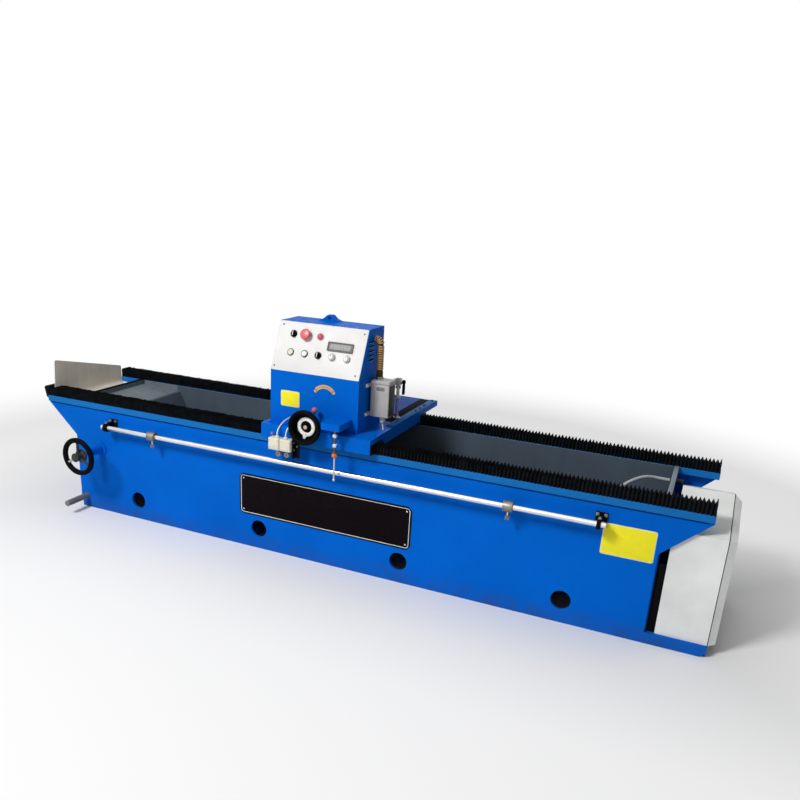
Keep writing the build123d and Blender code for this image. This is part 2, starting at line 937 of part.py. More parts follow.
hose_radii = corner_radii(hose_points)
with BuildPart() as coolant_hose:
    with BuildLine() as hose_path:
        FilletPolyline(*hose_points, radius=hose_radii)
    with BuildSketch(Plane(origin=hose_points[0], z_dir=(-1, 0, 0))):
        Circle(hose_radius)
    sweep()
print("hose bend radii", [round(r) for r in hose_radii])
hose_length = hose_path.wires()[0].length
print("hose volume", round(coolant_hose.part.volume), "section times length",
      round(math.pi * hose_radius ** 2 * hose_length), "length", round(hose_length))
coolant_hose.part.label = "coolant_hose"
export_step(coolant_hose.part, "parts/coolant_hose.step")

with BuildPart() as hose_fittings:
    rod((inner_right - end_fitting_reach, end_fitting_y, end_fitting_z), (1, 0, 0), fitting_length, fitting_radius)
    rod((inner_right, end_fitting_y, end_fitting_z), (-1, 0, 0), fitting_flange, fitting_radius + fitting_flange)
    rod((floor_fitting_x, floor_fitting_y, floor_fitting_top), (0, 0, -1), fitting_length, fitting_radius)
    rod((floor_fitting_x, floor_fitting_y, trough_floor), (0, 0, 1), fitting_flange, fitting_radius + fitting_flange)
hose_fittings.part.label = "hose_fittings"
export_step(hose_fittings.part, "parts/hose_fittings.step")

# Guide rails and bellows

with BuildPart() as guide_rails:
    for side in (-1, 1):
        with BuildSketch(Plane.YZ.offset(-half_length + rail_end_gap)):
            with Locations((side * beam_middle, bed_height + rail_height / 2)):
                Rectangle(rail_width, rail_height)
            for edge in (-1, 1):
                groove_z = bed_height + rail_height * rail_groove_share
                with Locations((side * beam_middle + edge * rail_width / 2, groove_z)):
                    Circle(rail_groove_radius, mode=Mode.SUBTRACT)
        extrude(amount=bed_length - 2 * rail_end_gap)
guide_rails.part.label = "guide_rails"
export_step(guide_rails.part, "parts/guide_rails.step")


def bellows_profile(start, end):
    """The side outline of a folded cover between two X places, with its folds along the top."""
    folds = round((end - start) / fold_pitch)
    step = (end - start) / folds
    top = [(start, saddle_bottom - fold_depth)]
    for k in range(folds):
        top.append((start + (k + 0.5) * step, saddle_bottom))
        top.append((start + (k + 1) * step, saddle_bottom - fold_depth))
    return [(start, bed_height)] + top + [(end, bed_height)]


def bellows_pair(start, end):
    """The folded covers over both guide rails between two X places."""
    for side in (-1, 1):
        with BuildSketch(Plane.XZ.offset(beam_width / 2 - side * beam_middle)) as section:
            with BuildLine():
                Polyline(*bellows_profile(start, end), close=True)
            make_face()
        extrude(section.sketch, amount=-beam_width)
        block(start - 1, end + 1, side * beam_middle - beam_width / 2 + bellows_wall,
              side * beam_middle + beam_width / 2 - bellows_wall, bed_height,
              bed_height + rail_height + bellows_rail_gap, mode=Mode.SUBTRACT)


with BuildPart() as left_bellows:
    bellows_pair(-half_length + bellows_end_gap, saddle_left)
left_bellows.part.label = "left_bellows"
export_step(left_bellows.part, "parts/left_bellows.step")

with BuildPart() as right_bellows:
    bellows_pair(saddle_right, half_length - bellows_end_gap)
right_bellows.part.label = "right_bellows"
export_step(right_bellows.part, "parts/right_bellows.step")

# Trip rod, its brackets and the two stop collars

with BuildPart() as trip_rod:
    rod((trip_rod_left, trip_rod_y, trip_rod_height), (1, 0, 0), trip_rod_right - trip_rod_left, trip_rod_radius)
    chamfer(trip_rod.edges().filter_by(GeomType.CIRCLE), edge_break)
trip_rod.part.label = "trip_rod"
export_step(trip_rod.part, "parts/trip_rod.step")

with BuildPart() as rod_brackets:
    for x in (bracket_left, bracket_right):
        side = bracket_thickness / 2
        block(x - side, x + side, trip_rod_y, -plate_outer, trip_rod_height - bracket_radius,
              trip_rod_height + bracket_radius)
        rod((x - side, trip_rod_y, trip_rod_height), (1, 0, 0), bracket_thickness, bracket_radius)
        block(x - bracket_foot_width / 2, x + bracket_foot_width / 2, -plate_outer - bracket_foot_thickness,
              -plate_outer, trip_rod_height - bracket_foot_height / 2, trip_rod_height + bracket_foot_height / 2)
        rod((x - bracket_thickness, trip_rod_y, trip_rod_height), (1, 0, 0), 2 * bracket_thickness,
            trip_rod_radius + running_fit, mode=Mode.SUBTRACT)
rod_brackets.part.label = "rod_brackets"
export_step(rod_brackets.part, "parts/rod_brackets.step")


def stop_collar(x):
    """A ring on the trip rod with a knurled thumb screw below it."""
    rod((x - collar_width / 2, trip_rod_y, trip_rod_height), (1, 0, 0), collar_width, collar_radius)
    chamfer(faces().filter_by(Axis.X).edges(), edge_break)
    thumb_top = trip_rod_height - collar_radius - thumb_gap
    rod((x, trip_rod_y, trip_rod_height), (0, 0, -1), trip_rod_height - thumb_top + thumb_stem_radius,
        thumb_stem_radius)
    rod((x, trip_rod_y, thumb_top), (0, 0, -1), thumb_length, thumb_radius)
    rod((x - collar_width, trip_rod_y, trip_rod_height), (1, 0, 0), 2 * collar_width,
        trip_rod_radius + running_fit, mode=Mode.SUBTRACT)


with BuildPart() as left_collar:
    stop_collar(left_collar_x)
left_collar.part.label = "left_collar"
export_step(left_collar.part, "parts/left_collar.step")

with BuildPart() as right_collar:
    stop_collar(right_collar_x)
right_collar.part.label = "right_collar"
export_step(right_collar.part, "parts/right_collar.step")

# Knife table and its tilting drive

pedestal_x = table_length / 2 + pedestal_gap
worm_bearing_y = table_y + worm_bearing_gap
with BuildPart() as bearing_housings:
    rod((worm_x, -plate_outer - boss_length, tilt_shaft_height), (0, 1, 0),
        boss_length + plate_thickness + boss_inner_length, boss_radius)
    rod((worm_x, -plate_outer - boss_flange, tilt_shaft_height), (0, 1, 0), boss_flange, boss_flange_radius)
    for side in (-1, 1):
        x = side * (pedestal_x + pedestal_half)
        block(x - pedestal_half, x + pedestal_half, table_y - pedestal_radius, table_y + pedestal_radius,
              trough_floor, table_z)
        rod((x - pedestal_half, table_y, table_z), (1, 0, 0), 2 * pedestal_half, pedestal_radius)
        rod((x - pedestal_half - 1, table_y, table_z), (1, 0, 0), 2 * pedestal_half + 2,
            table_shaft_radius + running_fit, mode=Mode.SUBTRACT)
    block(trough_left, worm_x, worm_bearing_y, worm_bearing_y + worm_bearing_width,
          tilt_shaft_height - worm_bearing_radius, tilt_shaft_height + worm_bearing_radius)
    rod((worm_x, worm_bearing_y, tilt_shaft_height), (0, 1, 0), worm_bearing_width, worm_bearing_radius)
    rod((worm_x, -half_depth - boss_length, tilt_shaft_height), (0, 1, 0), bed_depth + boss_length,
        tilt_shaft_radius + running_fit, mode=Mode.SUBTRACT)
bearing_housings.part.label = "bearing_housings"
export_step(bearing_housings.part, "parts/bearing_housings.step")

table_top = table_z + table_above_axis
table_bottom = table_z - table_below_axis
with BuildPart() as knife_table:
    with BuildSketch(Plane.YZ.offset(-table_length / 2)):
        with BuildLine():
            Polyline(
                (table_y - table_width / 2, table_bottom + table_chamfer_height),
                (table_y - table_width / 2 + table_chamfer_width, table_bottom),
                (table_y + table_width / 2 - table_chamfer_width, table_bottom),
                (table_y + table_width / 2, table_bottom + table_chamfer_height),
                (table_y + table_width / 2, table_top),
                (table_y - table_width / 2, table_top),
                close=True,
            )
        make_face()
        for offset in (-t_slot_offset, t_slot_offset):
            with Locations((table_y + offset, table_top)):
                Rectangle(t_slot_throat, 2 * t_slot_depth, mode=Mode.SUBTRACT)
            with Locations((table_y + offset, table_top - t_slot_depth)):
                Rectangle(t_slot_foot_width, t_slot_foot_height, mode=Mode.SUBTRACT)
    extrude(amount=table_length)
    shaft_left = worm_x - shaft_left_stub
    rod((shaft_left, table_y, table_z), (1, 0, 0), -table_length / 2 - shaft_left, table_shaft_radius)
    rod((table_length / 2, table_y, table_z), (1, 0, 0), 2 * pedestal_half + shaft_stub, table_shaft_radius)
knife_table.part.label = "knife_table"
export_step(knife_table.part, "parts/knife_table.step")

with BuildPart() as worm_wheel:
    with BuildSketch(Plane(origin=(worm_x - worm_wheel_width / 2, table_y, table_z), x_dir=(0, 0, -1),
                           z_dir=(1, 0, 0))):
        with BuildLine():
            Polyline(*gear_outline(worm_module, worm_wheel_teeth, worm_backlash), close=True)
        make_face()
        Circle(table_shaft_radius + press_gap, mode=Mode.SUBTRACT)
    extrude(amount=worm_wheel_width)
worm_wheel.part.label = "worm_wheel"
export_step(worm_wheel.part, "parts/worm_wheel.step")

worm_lead = math.pi * worm_module
worm_root = worm_pitch_radius - dedendum * worm_module
thread_top = worm_pitch_radius + worm_module - worm_root
thread_half = (worm_lead / 2 - worm_thread_gap) / 2
thread_slope = math.tan(pressure_angle)
worm_start_y = table_y - worm_lead * (worm_turns // 2 + 0.5)
with BuildPart() as worm_shaft:
    shaft_front = tilt_wheel_y - wheel_hub_length / 2 - 1
    shaft_rear = worm_bearing_y + worm_bearing_width + 6
    rod((worm_x, shaft_front, tilt_shaft_height), (0, 1, 0), shaft_rear - shaft_front, tilt_shaft_radius)
    rod((worm_x, worm_start_y - worm_shoulder, tilt_shaft_height), (0, 1, 0),
        worm_turns * worm_lead + 3 * worm_shoulder, worm_root + worm_overlap)
    with BuildLine() as worm_path:
        Helix(worm_lead, worm_lead * worm_turns, worm_root, center=(worm_x, worm_start_y, tilt_shaft_height),
              direction=(0, 1, 0))
    worm_curve = worm_path.edges()[0]
    worm_radial = worm_curve @ 0 - Vector(worm_x, worm_start_y, tilt_shaft_height)
    with BuildSketch(Plane(origin=worm_curve @ 0, x_dir=worm_radial, z_dir=worm_curve % 0)):
        with BuildLine():
            Polyline(
                (0, -thread_half - thread_slope * dedendum * worm_module),
                (thread_top, -thread_half + thread_slope * worm_module),
                (thread_top, thread_half - thread_slope * worm_module),
                (0, thread_half + thread_slope * dedendum * worm_module),
                close=True,
            )
        make_face()
    sweep(path=worm_curve, is_frenet=True)
worm_shaft.part.label = "worm_shaft"
export_step(worm_shaft.part, "parts/worm_shaft.step")

with BuildPart() as tilt_handwheel:
    wheel_plane = Plane(origin=(worm_x, tilt_wheel_y, tilt_shaft_height), x_dir=(1, 0, 0), z_dir=(0, -1, 0))
    with Locations(wheel_plane):
        Torus(tilt_wheel_radius - rim_radius, rim_radius)
        Cylinder(wheel_hub_radius, wheel_hub_length)
    for k in range(spoke_count):
        turn = math.radians(90 + 360 * k / spoke_count)
        rod((worm_x, tilt_wheel_y, tilt_shaft_height), (math.cos(turn), 0, math.sin(turn)),
            tilt_wheel_radius - rim_radius, spoke_radius)
    rod((worm_x, tilt_wheel_y - wheel_hub_length, tilt_shaft_height), (0, 1, 0), 2 * wheel_hub_length,
        tilt_shaft_radius + press_gap, mode=Mode.SUBTRACT)
tilt_handwheel.part.label = "tilt_handwheel"
export_step(tilt_handwheel.part, "parts/tilt_handwheel.step")

# Carriage: saddle and runner blocks

opening_half = guard_radius + opening_side_gap
opening_front = head_y - guard_radius - opening_front_gap
opening_rear = head_y + guard_radius + opening_rear_gap
with BuildPart() as saddle:
    block(saddle_left, saddle_right, saddle_front, saddle_rear, saddle_bottom, saddle_top)
    block(head_x - opening_half, head_x + opening_half, opening_front, opening_rear, saddle_bottom, saddle_top,
          mode=Mode.SUBTRACT)
    block(saddle_left, saddle_right, saddle_front, saddle_front + skirt_thickness, skirt_bottom, saddle_bottom)
    for x in (saddle_left, saddle_right - skirt_thickness):
        block(x, x + skirt_thickness, -beam_inner + end_skirt_gap, beam_inner - end_skirt_gap,
              saddle_bottom - end_skirt_height, saddle_bottom)
        for side in (-1, 1):
            middle = side * beam_middle
            block(x, x + skirt_thickness, middle - beam_width / 2, middle + beam_width / 2, skirt_bottom, saddle_bottom)
            block(x - 1, x + skirt_thickness + 1, middle - rail_width / 2 - rail_slot_gap,
                  middle + rail_width / 2 + rail_slot_gap, skirt_bottom, bed_height + rail_height + rail_slot_gap + 1,
                  mode=Mode.SUBTRACT)
    rod((pinion_x, pinion_y, saddle_bottom), (0, 0, 1), saddle_thickness, pinion_shaft_radius + pinion_hole_gap,
        mode=Mode.SUBTRACT)
saddle.part.label = "saddle"
export_step(saddle.part, "parts/saddle.step")

with BuildPart() as runner_blocks:
    for side in (-1, 1):
        for x in (saddle_left + block_inset, saddle_right - block_inset - block_length):
            middle = side * beam_middle
            block(x, x + block_length, middle - block_width / 2, middle + block_width / 2,
                  saddle_bottom - block_height, saddle_bottom)
            block(x, x + block_length, middle - rail_width / 2 - slide_clearance,
                  middle + rail_width / 2 + slide_clearance, saddle_bottom - block_height,
                  bed_height + rail_height + slide_clearance, mode=Mode.SUBTRACT)
runner_blocks.part.label = "runner_blocks"
export_step(runner_blocks.part, "parts/runner_blocks.step")

# Control box with its sloping panel

stem_holes = [
    (stop_place, stop_stem),
    (start_place, cap_radius),
    (white_place, cap_radius),
    (upper_selector_place, selector_stem),
    (lower_selector_place, selector_stem),
    (left_knob_place, knob_stem),
    (right_knob_place, knob_stem),
]


def box_outline(inset, foot):
    """The control box's side outline, drawn in by an inset on its closed sides."""
    lean = panel_lean / panel_rise
    corner = inset * (panel_slope - panel_lean) / panel_rise
    return [
        (box_front + inset, foot),
        (box_front + inset, panel_bottom + inset * (panel_slope / panel_rise - 1) / lean),
        (panel_top_y + corner, box_top - inset),
        (box_back - inset, box_top - inset),
        (box_back - inset, foot),
    ]


with BuildPart() as control_box:
    with BuildSketch(Plane.YZ.offset(box_left)):
        with BuildLine():
            Polyline(*box_outline(0, saddle_top), close=True)
        make_face()
    extrude(amount=box_right - box_left)
    rod((head_x, box_front - feed_boss_reach, feed_z), (0, 1, 0), feed_boss_reach, feed_boss_radius)
    with BuildSketch(Plane.YZ.offset(box_left + sheet)):
        with BuildLine():
            Polyline(*box_outline(sheet, saddle_top - 1), close=True)
        make_face()
    extrude(amount=box_right - box_left - 2 * sheet, mode=Mode.SUBTRACT)
    block(head_x - gear_window_half, head_x + gear_window_half, box_back - 2 * sheet, box_back + 1, saddle_top - 1,
          feed_z + gear_window_half, mode=Mode.SUBTRACT)
    rod((head_x, box_front - feed_boss_reach - 1, feed_z), (0, 1, 0), feed_boss_reach + 5 * sheet,
        feed_shaft_radius + running_fit, mode=Mode.SUBTRACT)
    for k in range(louvre_count):
        z = box_top - louvre_top_drop - louvre_pitch * k
        louvre_front = box_front + louvre_front_inset
        block(box_right - 2 * sheet, box_right + 1, louvre_front, louvre_front + louvre_length,
              z - louvre_height / 2, z + louvre_height / 2, mode=Mode.SUBTRACT)
    for place, radius in stem_holes:
        with Locations(panel_plane):
            with Locations(place):
                Cylinder(radius + loose_fit, 6 * sheet, mode=Mode.SUBTRACT)
    lug_back = box_back - lug_back_inset
    lug_x = head_x - lug_left_of_head
    with BuildSketch(Plane(origin=(lug_x, lug_back, box_top), x_dir=(1, 0, 0), z_dir=(0, -1, 0))):
        Polygon((-lug_length / 2, 0), (lug_length / 2, 0), (lug_length / 4, 0.4 * lug_height),
                (lug_crown / 2, lug_height), (-lug_crown / 2, lug_height), (-lug_length / 4, 0.4 * lug_height),
                align=None)
    extrude(amount=lug_thickness)
    rod((lug_x, lug_back + 1, box_top + lug_height / 2), (0, -1, 0), lug_thickness + 2,
        lug_hole_radius, mode=Mode.SUBTRACT)
control_box.part.label = "control_box"
export_step(control_box.part, "parts/control_box.step")

with BuildPart(panel_plane) as control_panel:
    with Locations(((box_left + box_right) / 2, panel_slope / 2, 0)):
        Box(box_right - box_left - 2 * panel_margin, panel_slope - 2 * panel_margin, sheet,
            align=(Align.CENTER, Align.CENTER, Align.MIN))
    for place in (start_place, white_place):
        with Locations(place):
            Cylinder(bezel_radius, bezel_height, align=(Align.CENTER, Align.CENTER, Align.MIN))
    for place, radius in stem_holes:
        with Locations(place):
            Cylinder(radius + loose_fit, stem_depth, mode=Mode.SUBTRACT)
control_panel.part.label = "control_panel"
export_step(control_panel.part, "parts/control_panel.step")

with BuildPart(panel_plane.offset(sheet)) as panel_indicators:
    with Locations(display_place):
        Box(*display_size, display_height, align=(Align.CENTER, Align.CENTER, Align.MIN))
        with Locations((0, 0, display_height - display_sink)):
            Box(display_size[0] - 2 * display_border, display_size[1] - 2 * display_border, 2 * display_sink,
                align=(Align.CENTER, Align.CENTER, Align.MIN), mode=Mode.SUBTRACT)
    with Locations(lamp_place):
        Cylinder(lamp_ring_radius, lamp_ring_height, align=(Align.CENTER, Align.CENTER, Align.MIN))
        Cylinder(lamp_radius, lamp_height, align=(Align.CENTER, Align.CENTER, Align.MIN))
panel_indicators.part.label = "panel_indicators"
export_step(panel_indicators.part, "parts/panel_indicators.step")

with BuildPart(panel_plane.offset(-stem_depth)) as stop_button:
    with Locations(stop_place):
        Cylinder(stop_stem, stem_depth + stop_cap_lift + 2, align=(Align.CENTER, Align.CENTER, Align.MIN))
        with Locations((0, 0, stem_depth + stop_cap_lift)):
            Cylinder(stop_radius, stop_cap_height, align=(Align.CENTER, Align.CENTER, Align.MIN))
    fillet(stop_button.faces().sort_by(panel_axis)[-1].edges(), stop_round)
stop_button.part.label = "stop_button"
export_step(stop_button.part, "parts/stop_button.step")


def push_button(place):
    """A round push button whose cap stands out of its bezel."""
    with Locations(place):
        Cylinder(cap_radius, stem_depth + bezel_height + cap_rise, align=(Align.CENTER, Align.CENTER, Align.MIN))
    fillet(faces().sort_by(panel_axis)[-1].edges(), cap_round)


def selector(place):
    """A selector knob with a grip bar."""
    with Locations(place):
        Cylinder(selector_stem, stem_depth + sheet + stem_overlap, align=(Align.CENTER, Align.CENTER, Align.MIN))
        with Locations((0, 0, stem_depth + sheet + knob_gap)):
            Cylinder(selector_radius, selector_disc_height, align=(Align.CENTER, Align.CENTER, Align.MIN))
            Box(*selector_grip, align=(Align.CENTER, Align.CENTER, Align.MIN))


def round_knob(place):
    """A round setting knob."""
    with Locations(place):
        Cylinder(knob_stem, stem_depth + sheet + stem_overlap, align=(Align.CENTER, Align.CENTER, Align.MIN))
        with Locations((0, 0, stem_depth + sheet + knob_gap)):
            Cone(knob_foot_radius, knob_top_radius, knob_height, align=(Align.CENTER, Align.CENTER, Align.MIN))
    fillet(faces().sort_by(panel_axis)[-1].edges(), knob_round)


with BuildPart(panel_plane.offset(-stem_depth)) as start_button:
    push_button(start_place)
start_button.part.label = "start_button"
export_step(start_button.part, "parts/start_button.step")

with BuildPart(panel_plane.offset(-stem_depth)) as white_button:
    push_button(white_place)
white_button.part.label = "white_button"
export_step(white_button.part, "parts/white_button.step")

with BuildPart(panel_plane.offset(-stem_depth)) as upper_selector:
    selector(upper_selector_place)
upper_selector.part.label = "upper_selector"
export_step(upper_selector.part, "parts/upper_selector.step")

with BuildPart(panel_plane.offset(-stem_depth)) as lower_selector:
    selector(lower_selector_place)
lower_selector.part.label = "lower_selector"
export_step(lower_selector.part, "parts/lower_selector.step")

with BuildPart(panel_plane.offset(-stem_depth)) as left_knob:
    round_knob(left_knob_place)
left_knob.part.label = "left_knob"
export_step(left_knob.part, "parts/left_knob.step")

with BuildPart(panel_plane.offset(-stem_depth)) as right_knob:
    round_knob(right_knob_place)
right_knob.part.label = "right_knob"
export_step(right_knob.part, "parts/right_knob.step")

# Feed drive: handwheel, cross shaft, bevel gears, screw and clutch lever

web_back = feed_wheel_y + feed_dish
web_front = web_back - feed_web
with BuildPart() as feed_wheel:
    rod((head_x, feed_wheel_y, feed_z), (0, -1, 0), feed_wheel_width, feed_wheel_radius)
    fillet(feed_wheel.edges().filter_by(GeomType.CIRCLE), feed_wheel_round)
    rod((head_x, web_back, feed_z), (0, -1, 0), feed_dish + feed_wheel_width / 2, feed_cup_radius)
    fillet(feed_wheel.edges().filter_by(GeomType.CIRCLE).sort_by(Axis.Y)[-1:], feed_cup_round)
    rod((head_x, feed_wheel_y - feed_wheel_width / 2, feed_z), (0, -1, 0), feed_wheel_width,
        feed_wheel_radius - feed_rim, mode=Mode.SUBTRACT)
    rod((head_x, web_front, feed_z), (0, -1, 0), feed_dish + feed_wheel_width, feed_cup_radius - feed_cup_wall,
        mode=Mode.SUBTRACT)
    rod((head_x, feed_wheel_y + feed_hub_inner, feed_z), (0, -1, 0), feed_hub_length, feed_hub_radius)
    rod((head_x, web_front, feed_z), (0, -1, 0), dial_height, dial_outer)
    rod((head_x, web_front, feed_z), (0, -1, 0), 2 * dial_height, dial_inner, mode=Mode.SUBTRACT)
    rod((head_x, web_front, feed_z), (0, -1, 0), centre_cap_height, centre_cap_radius)
    rod((head_x - dial_pin_left, web_front, feed_z - dial_outer - dial_pin_gap), (0, -1, 0), dial_pin_height,
        dial_pin_radius)
    rod((head_x, feed_wheel_y + feed_hub_inner + 1, feed_z), (0, -1, 0), feed_wheel_width + feed_hub_inner,
        feed_shaft_radius + press_gap, mode=Mode.SUBTRACT)
feed_wheel.part.label = "feed_wheel"
export_step(feed_wheel.part, "parts/feed_wheel.step")


def bevel_gear(apex, axis, tooth_side):
    """A straight bevel gear whose cone points at the apex, with one tooth towards a side."""
    sections = []
    for scale in (1.0, bevel_scale):
        place = Vector(*apex) + Vector(*axis) * (bevel_radius * scale)
        with BuildSketch(Plane(origin=place, x_dir=tooth_side, z_dir=axis)) as section:
            with BuildLine():
                Polyline(*gear_outline(bevel_module * scale, bevel_teeth, bevel_backlash * scale), close=True)
            make_face()
        sections.append(section.sketch.faces()[0])
    loft(sections, ruled=True)


bevel_apex = (head_x, screw_y, feed_z)
half_tooth_turn = math.pi / bevel_teeth
with BuildPart() as feed_shaft:
    bevel_gear(bevel_apex, (0, -1, 0), (0, 0, 1))
    rod((head_x, screw_y - bevel_radius, feed_z), (0, -1, 0),
        screw_y - bevel_radius - feed_wheel_y + feed_shaft_rise, feed_shaft_radius)
feed_shaft.part.label = "feed_shaft"
export_step(feed_shaft.part, "parts/feed_shaft.step")

with BuildPart() as feed_screw:
    bevel_gear(bevel_apex, (0, 0, 1), (math.sin(half_tooth_turn), -math.cos(half_tooth_turn), 0))
    rod((head_x, screw_y, feed_z + bevel_radius), (0, 0, 1),
        column_top - feed_z - bevel_radius + screw_top_rise, screw_radius)
    rod((head_x, screw_y, column_top + loose_fit), (0, 0, 1), screw_collar_height, screw_collar_radius)
feed_screw.part.label = "feed_screw"
export_step(feed_screw.part, "parts/feed_screw.step")

clutch_y = box_front - clutch_gap
clutch_middle = clutch_y - clutch_ring_width / 2
clutch_way = (math.sin(clutch_lean), 0, math.cos(clutch_lean))
with BuildPart() as clutch_lever:
    rod((head_x, clutch_y, feed_z), (0, -1, 0), clutch_ring_width, feed_boss_radius + clutch_ring_wall)
    rod((head_x, clutch_middle, feed_z), clutch_way, clutch_length, clutch_stem_radius)
    with Locations((head_x + clutch_length * clutch_way[0], clutch_middle, feed_z + clutch_length * clutch_way[2])):
        Sphere(lever_ball_radius)
    rod((head_x, clutch_y + 1, feed_z), (0, -1, 0), clutch_ring_width + 2, feed_boss_radius + running_fit,
        mode=Mode.SUBTRACT)
clutch_lever.part.label = "clutch_lever"
export_step(clutch_lever.part, "parts/clutch_lever.step")

# Limit switches over the trip rod, and their leads

switch_bottom = roller_z + roller_radius + switch_gap
switch_top = switch_bottom + switch_height
switch_front = saddle_front - switch_depth
switch_middle = (switch_left + switch_right) / 2
left_roller_x = switch_left + roller_inset
right_roller_x = switch_right - roller_inset
with BuildPart() as limit_switch:
    block(switch_left, switch_right, switch_front, saddle_front, switch_bottom, switch_top)
    fillet(limit_switch.edges().filter_by(Axis.Y), switch_corner)
    for x in (left_roller_x, right_roller_x):
        rod((x, (switch_front + saddle_front) / 2, switch_top - switch_gland_sink), (0, 0, 1),
            switch_gland_sink + switch_gland_rise, switch_gland_radius)
        rod((x, trip_rod_y, switch_bottom - 1), (0, 0, 1), plunger_bore_depth + 1, plunger_radius + running_fit,
            mode=Mode.SUBTRACT)
    block(switch_middle - switch_seam / 2, switch_middle + switch_seam / 2, switch_front - 1,
          switch_front + switch_seam, switch_bottom - 1, switch_top + 1, mode=Mode.SUBTRACT)
limit_switch.part.label = "limit_switch"
export_step(limit_switch.part, "parts/limit_switch.step")


def switch_roller(x):
    """A sprung plunger with a roller at its foot."""
    rod((x, trip_rod_y, roller_z), (0, 0, 1), switch_bottom - roller_z + plunger_length, plunger_radius)
    rod((x, trip_rod_y - roller_width / 2, roller_z), (0, 1, 0), roller_width, roller_radius)


with BuildPart() as left_roller:
    switch_roller(left_roller_x)
left_roller.part.label = "left_roller"
export_step(left_roller.part, "parts/left_roller.step")

with BuildPart() as right_roller:
    switch_roller(right_roller_x)
right_roller.part.label = "right_roller"
export_step(right_roller.part, "parts/right_roller.step")

lead_y = (switch_front + saddle_front) / 2
lead_top = switch_top + switch_gland_rise
junction_left = box_right + junction_gap
junction_right = junction_left + junction_width
junction_front = box_front + junction_front_inset
junction_back = junction_front + junction_depth
junction_bottom = saddle_top + junction_lift
junction_top = junction_bottom + junction_height
gland_x = junction_left + junction_width * gland_share
gland_y = (junction_front + junction_back) / 2


def lead(points, start_direction):
    """A thin lead along a route of straight runs and arcs."""
    with BuildLine() as lead_path:
        FilletPolyline(*points, radius=[min(r, lead_bend) for r in corner_radii(points)])
    with BuildSketch(Plane(origin=points[0], z_dir=start_direction)) as section:
        Circle(lead_radius)
    sweep(section.sketch, path=lead_path.wires()[0])


with BuildPart() as carriage_leads:
    for x in (left_roller_x, right_roller_x):
        lead(
            [
                (x, lead_y, lead_top),
                (x, lead_y, lead_top + 28),
                (x + 14, lead_y + 34, lead_top + 62),
                (x + 20, box_front - 14, lead_top + 70),
                (x + 20, box_front, lead_top + 70),
            ],
            (0, 0, 1),
        )
    lead(
        [
            (gland_x, gland_y, junction_bottom - gland_length),
            (gland_x, gland_y, junction_bottom - gland_length - 18),
            (gland_x + 8, gland_y - 6, junction_bottom - gland_length - 34),
            (gland_x + 8, gland_y - 6, saddle_top),
        ],
        (0, 0, -1),
    )
carriage_leads.part.label = "carriage_leads"
export_step(carriage_leads.part, "parts/carriage_leads.step")

# Trip lever and its housing on the front of the box

lever_y = trip_rod_y - lever_gap
pivot_z = saddle_top + pivot_rise
housing_left = lever_x - housing_left_of_lever
housing_right = lever_x + housing_right_of_lever
housing_front = lever_y - housing_front_gap
housing_bottom = pivot_z - housing_below_pivot
housing_top = pivot_z + housing_above_pivot
with BuildPart() as lever_housing:
    block(housing_left, housing_right, housing_front, box_front, housing_bottom, housing_top)
    fillet(lever_housing.edges().filter_by(Axis.Z), housing_corner)
    block(housing_left + housing_wall, housing_right - housing_wall, housing_front + housing_wall,
          box_front - housing_wall, housing_bottom - 1, housing_top - housing_wall, mode=Mode.SUBTRACT)
    rod((lever_x, housing_front, pivot_z), (0, 1, 0), box_front - housing_front, pivot_radius)
lever_housing.part.label = "lever_housing"
export_step(lever_housing.part, "parts/lever_housing.step")

with BuildPart() as trip_lever:
    rod((lever_x, lever_y - lever_hub_width / 2, pivot_z), (0, 1, 0), lever_hub_width, lever_hub_radius)
    rod((lever_x, lever_y, pivot_z), (0, 0, -1), ball_drop, lever_radius)
    for drop in lever_ring_drops:
        rod((lever_x, lever_y, pivot_z - drop), (0, 0, -1), lever_ring_length, lever_ring_radius)
    rod((lever_x, lever_y, pivot_z - ball_drop), (0, 0, -1), tip_drop - ball_drop, tip_stem_radius)
    with Locations((lever_x, lever_y, pivot_z - ball_drop)):
        Sphere(lever_ball_radius)
    with Locations((lever_x, lever_y, pivot_z - tip_drop)):
        Sphere(tip_radius)
    rod((lever_x, lever_y - lever_hub_width, pivot_z), (0, 1, 0), 2 * lever_hub_width, pivot_radius + running_fit,
        mode=Mode.SUBTRACT)
trip_lever.part.label = "trip_lever"
export_step(trip_lever.part, "parts/trip_lever.step")

# Right side of the box: junction box and ribbed conduit

conduit_x = junction_left + conduit_inset
conduit_y = junction_front + conduit_back
conduit_top = box_top - conduit_top_drop
foot_front = junction_front + junction_corner
foot_back = foot_front + junction_foot_width
with BuildPart() as junction_box:
    block(junction_left, junction_right, junction_front, junction_back, junction_bottom, junction_top)
    fillet(junction_box.edges().filter_by(Axis.Z), junction_corner)
    block(junction_left, junction_right + junction_lid_lip, junction_front - junction_lid_lip,
          junction_back + junction_lid_lip, junction_top - junction_lid_height, junction_top)
    block(junction_left + junction_wall, junction_right - junction_wall, junction_front + junction_wall,
          junction_back - junction_wall, junction_bottom + junction_wall, junction_top - junction_wall,
          mode=Mode.SUBTRACT)
    block(junction_left - 1, junction_left + junction_wall + 1, foot_back + junction_wall,
          junction_back - 4 * junction_wall, junction_bottom + 2 * junction_foot_height,
          junction_top - 3 * junction_foot_height, mode=Mode.SUBTRACT)
    for z in (junction_bottom + junction_wall, junction_top - junction_lid_height - junction_foot_height):
        block(box_right, junction_left + 1, foot_front, foot_back, z, z + junction_foot_height)
    rod((gland_x, gland_y, junction_bottom), (0, 0, -1), gland_length, gland_radius)
    rod((conduit_x, conduit_y, junction_top), (0, 0, 1), conduit_collar_height, conduit_radius + conduit_collar_wall)
junction_box.part.label = "junction_box"
export_step(junction_box.part, "parts/junction_box.step")

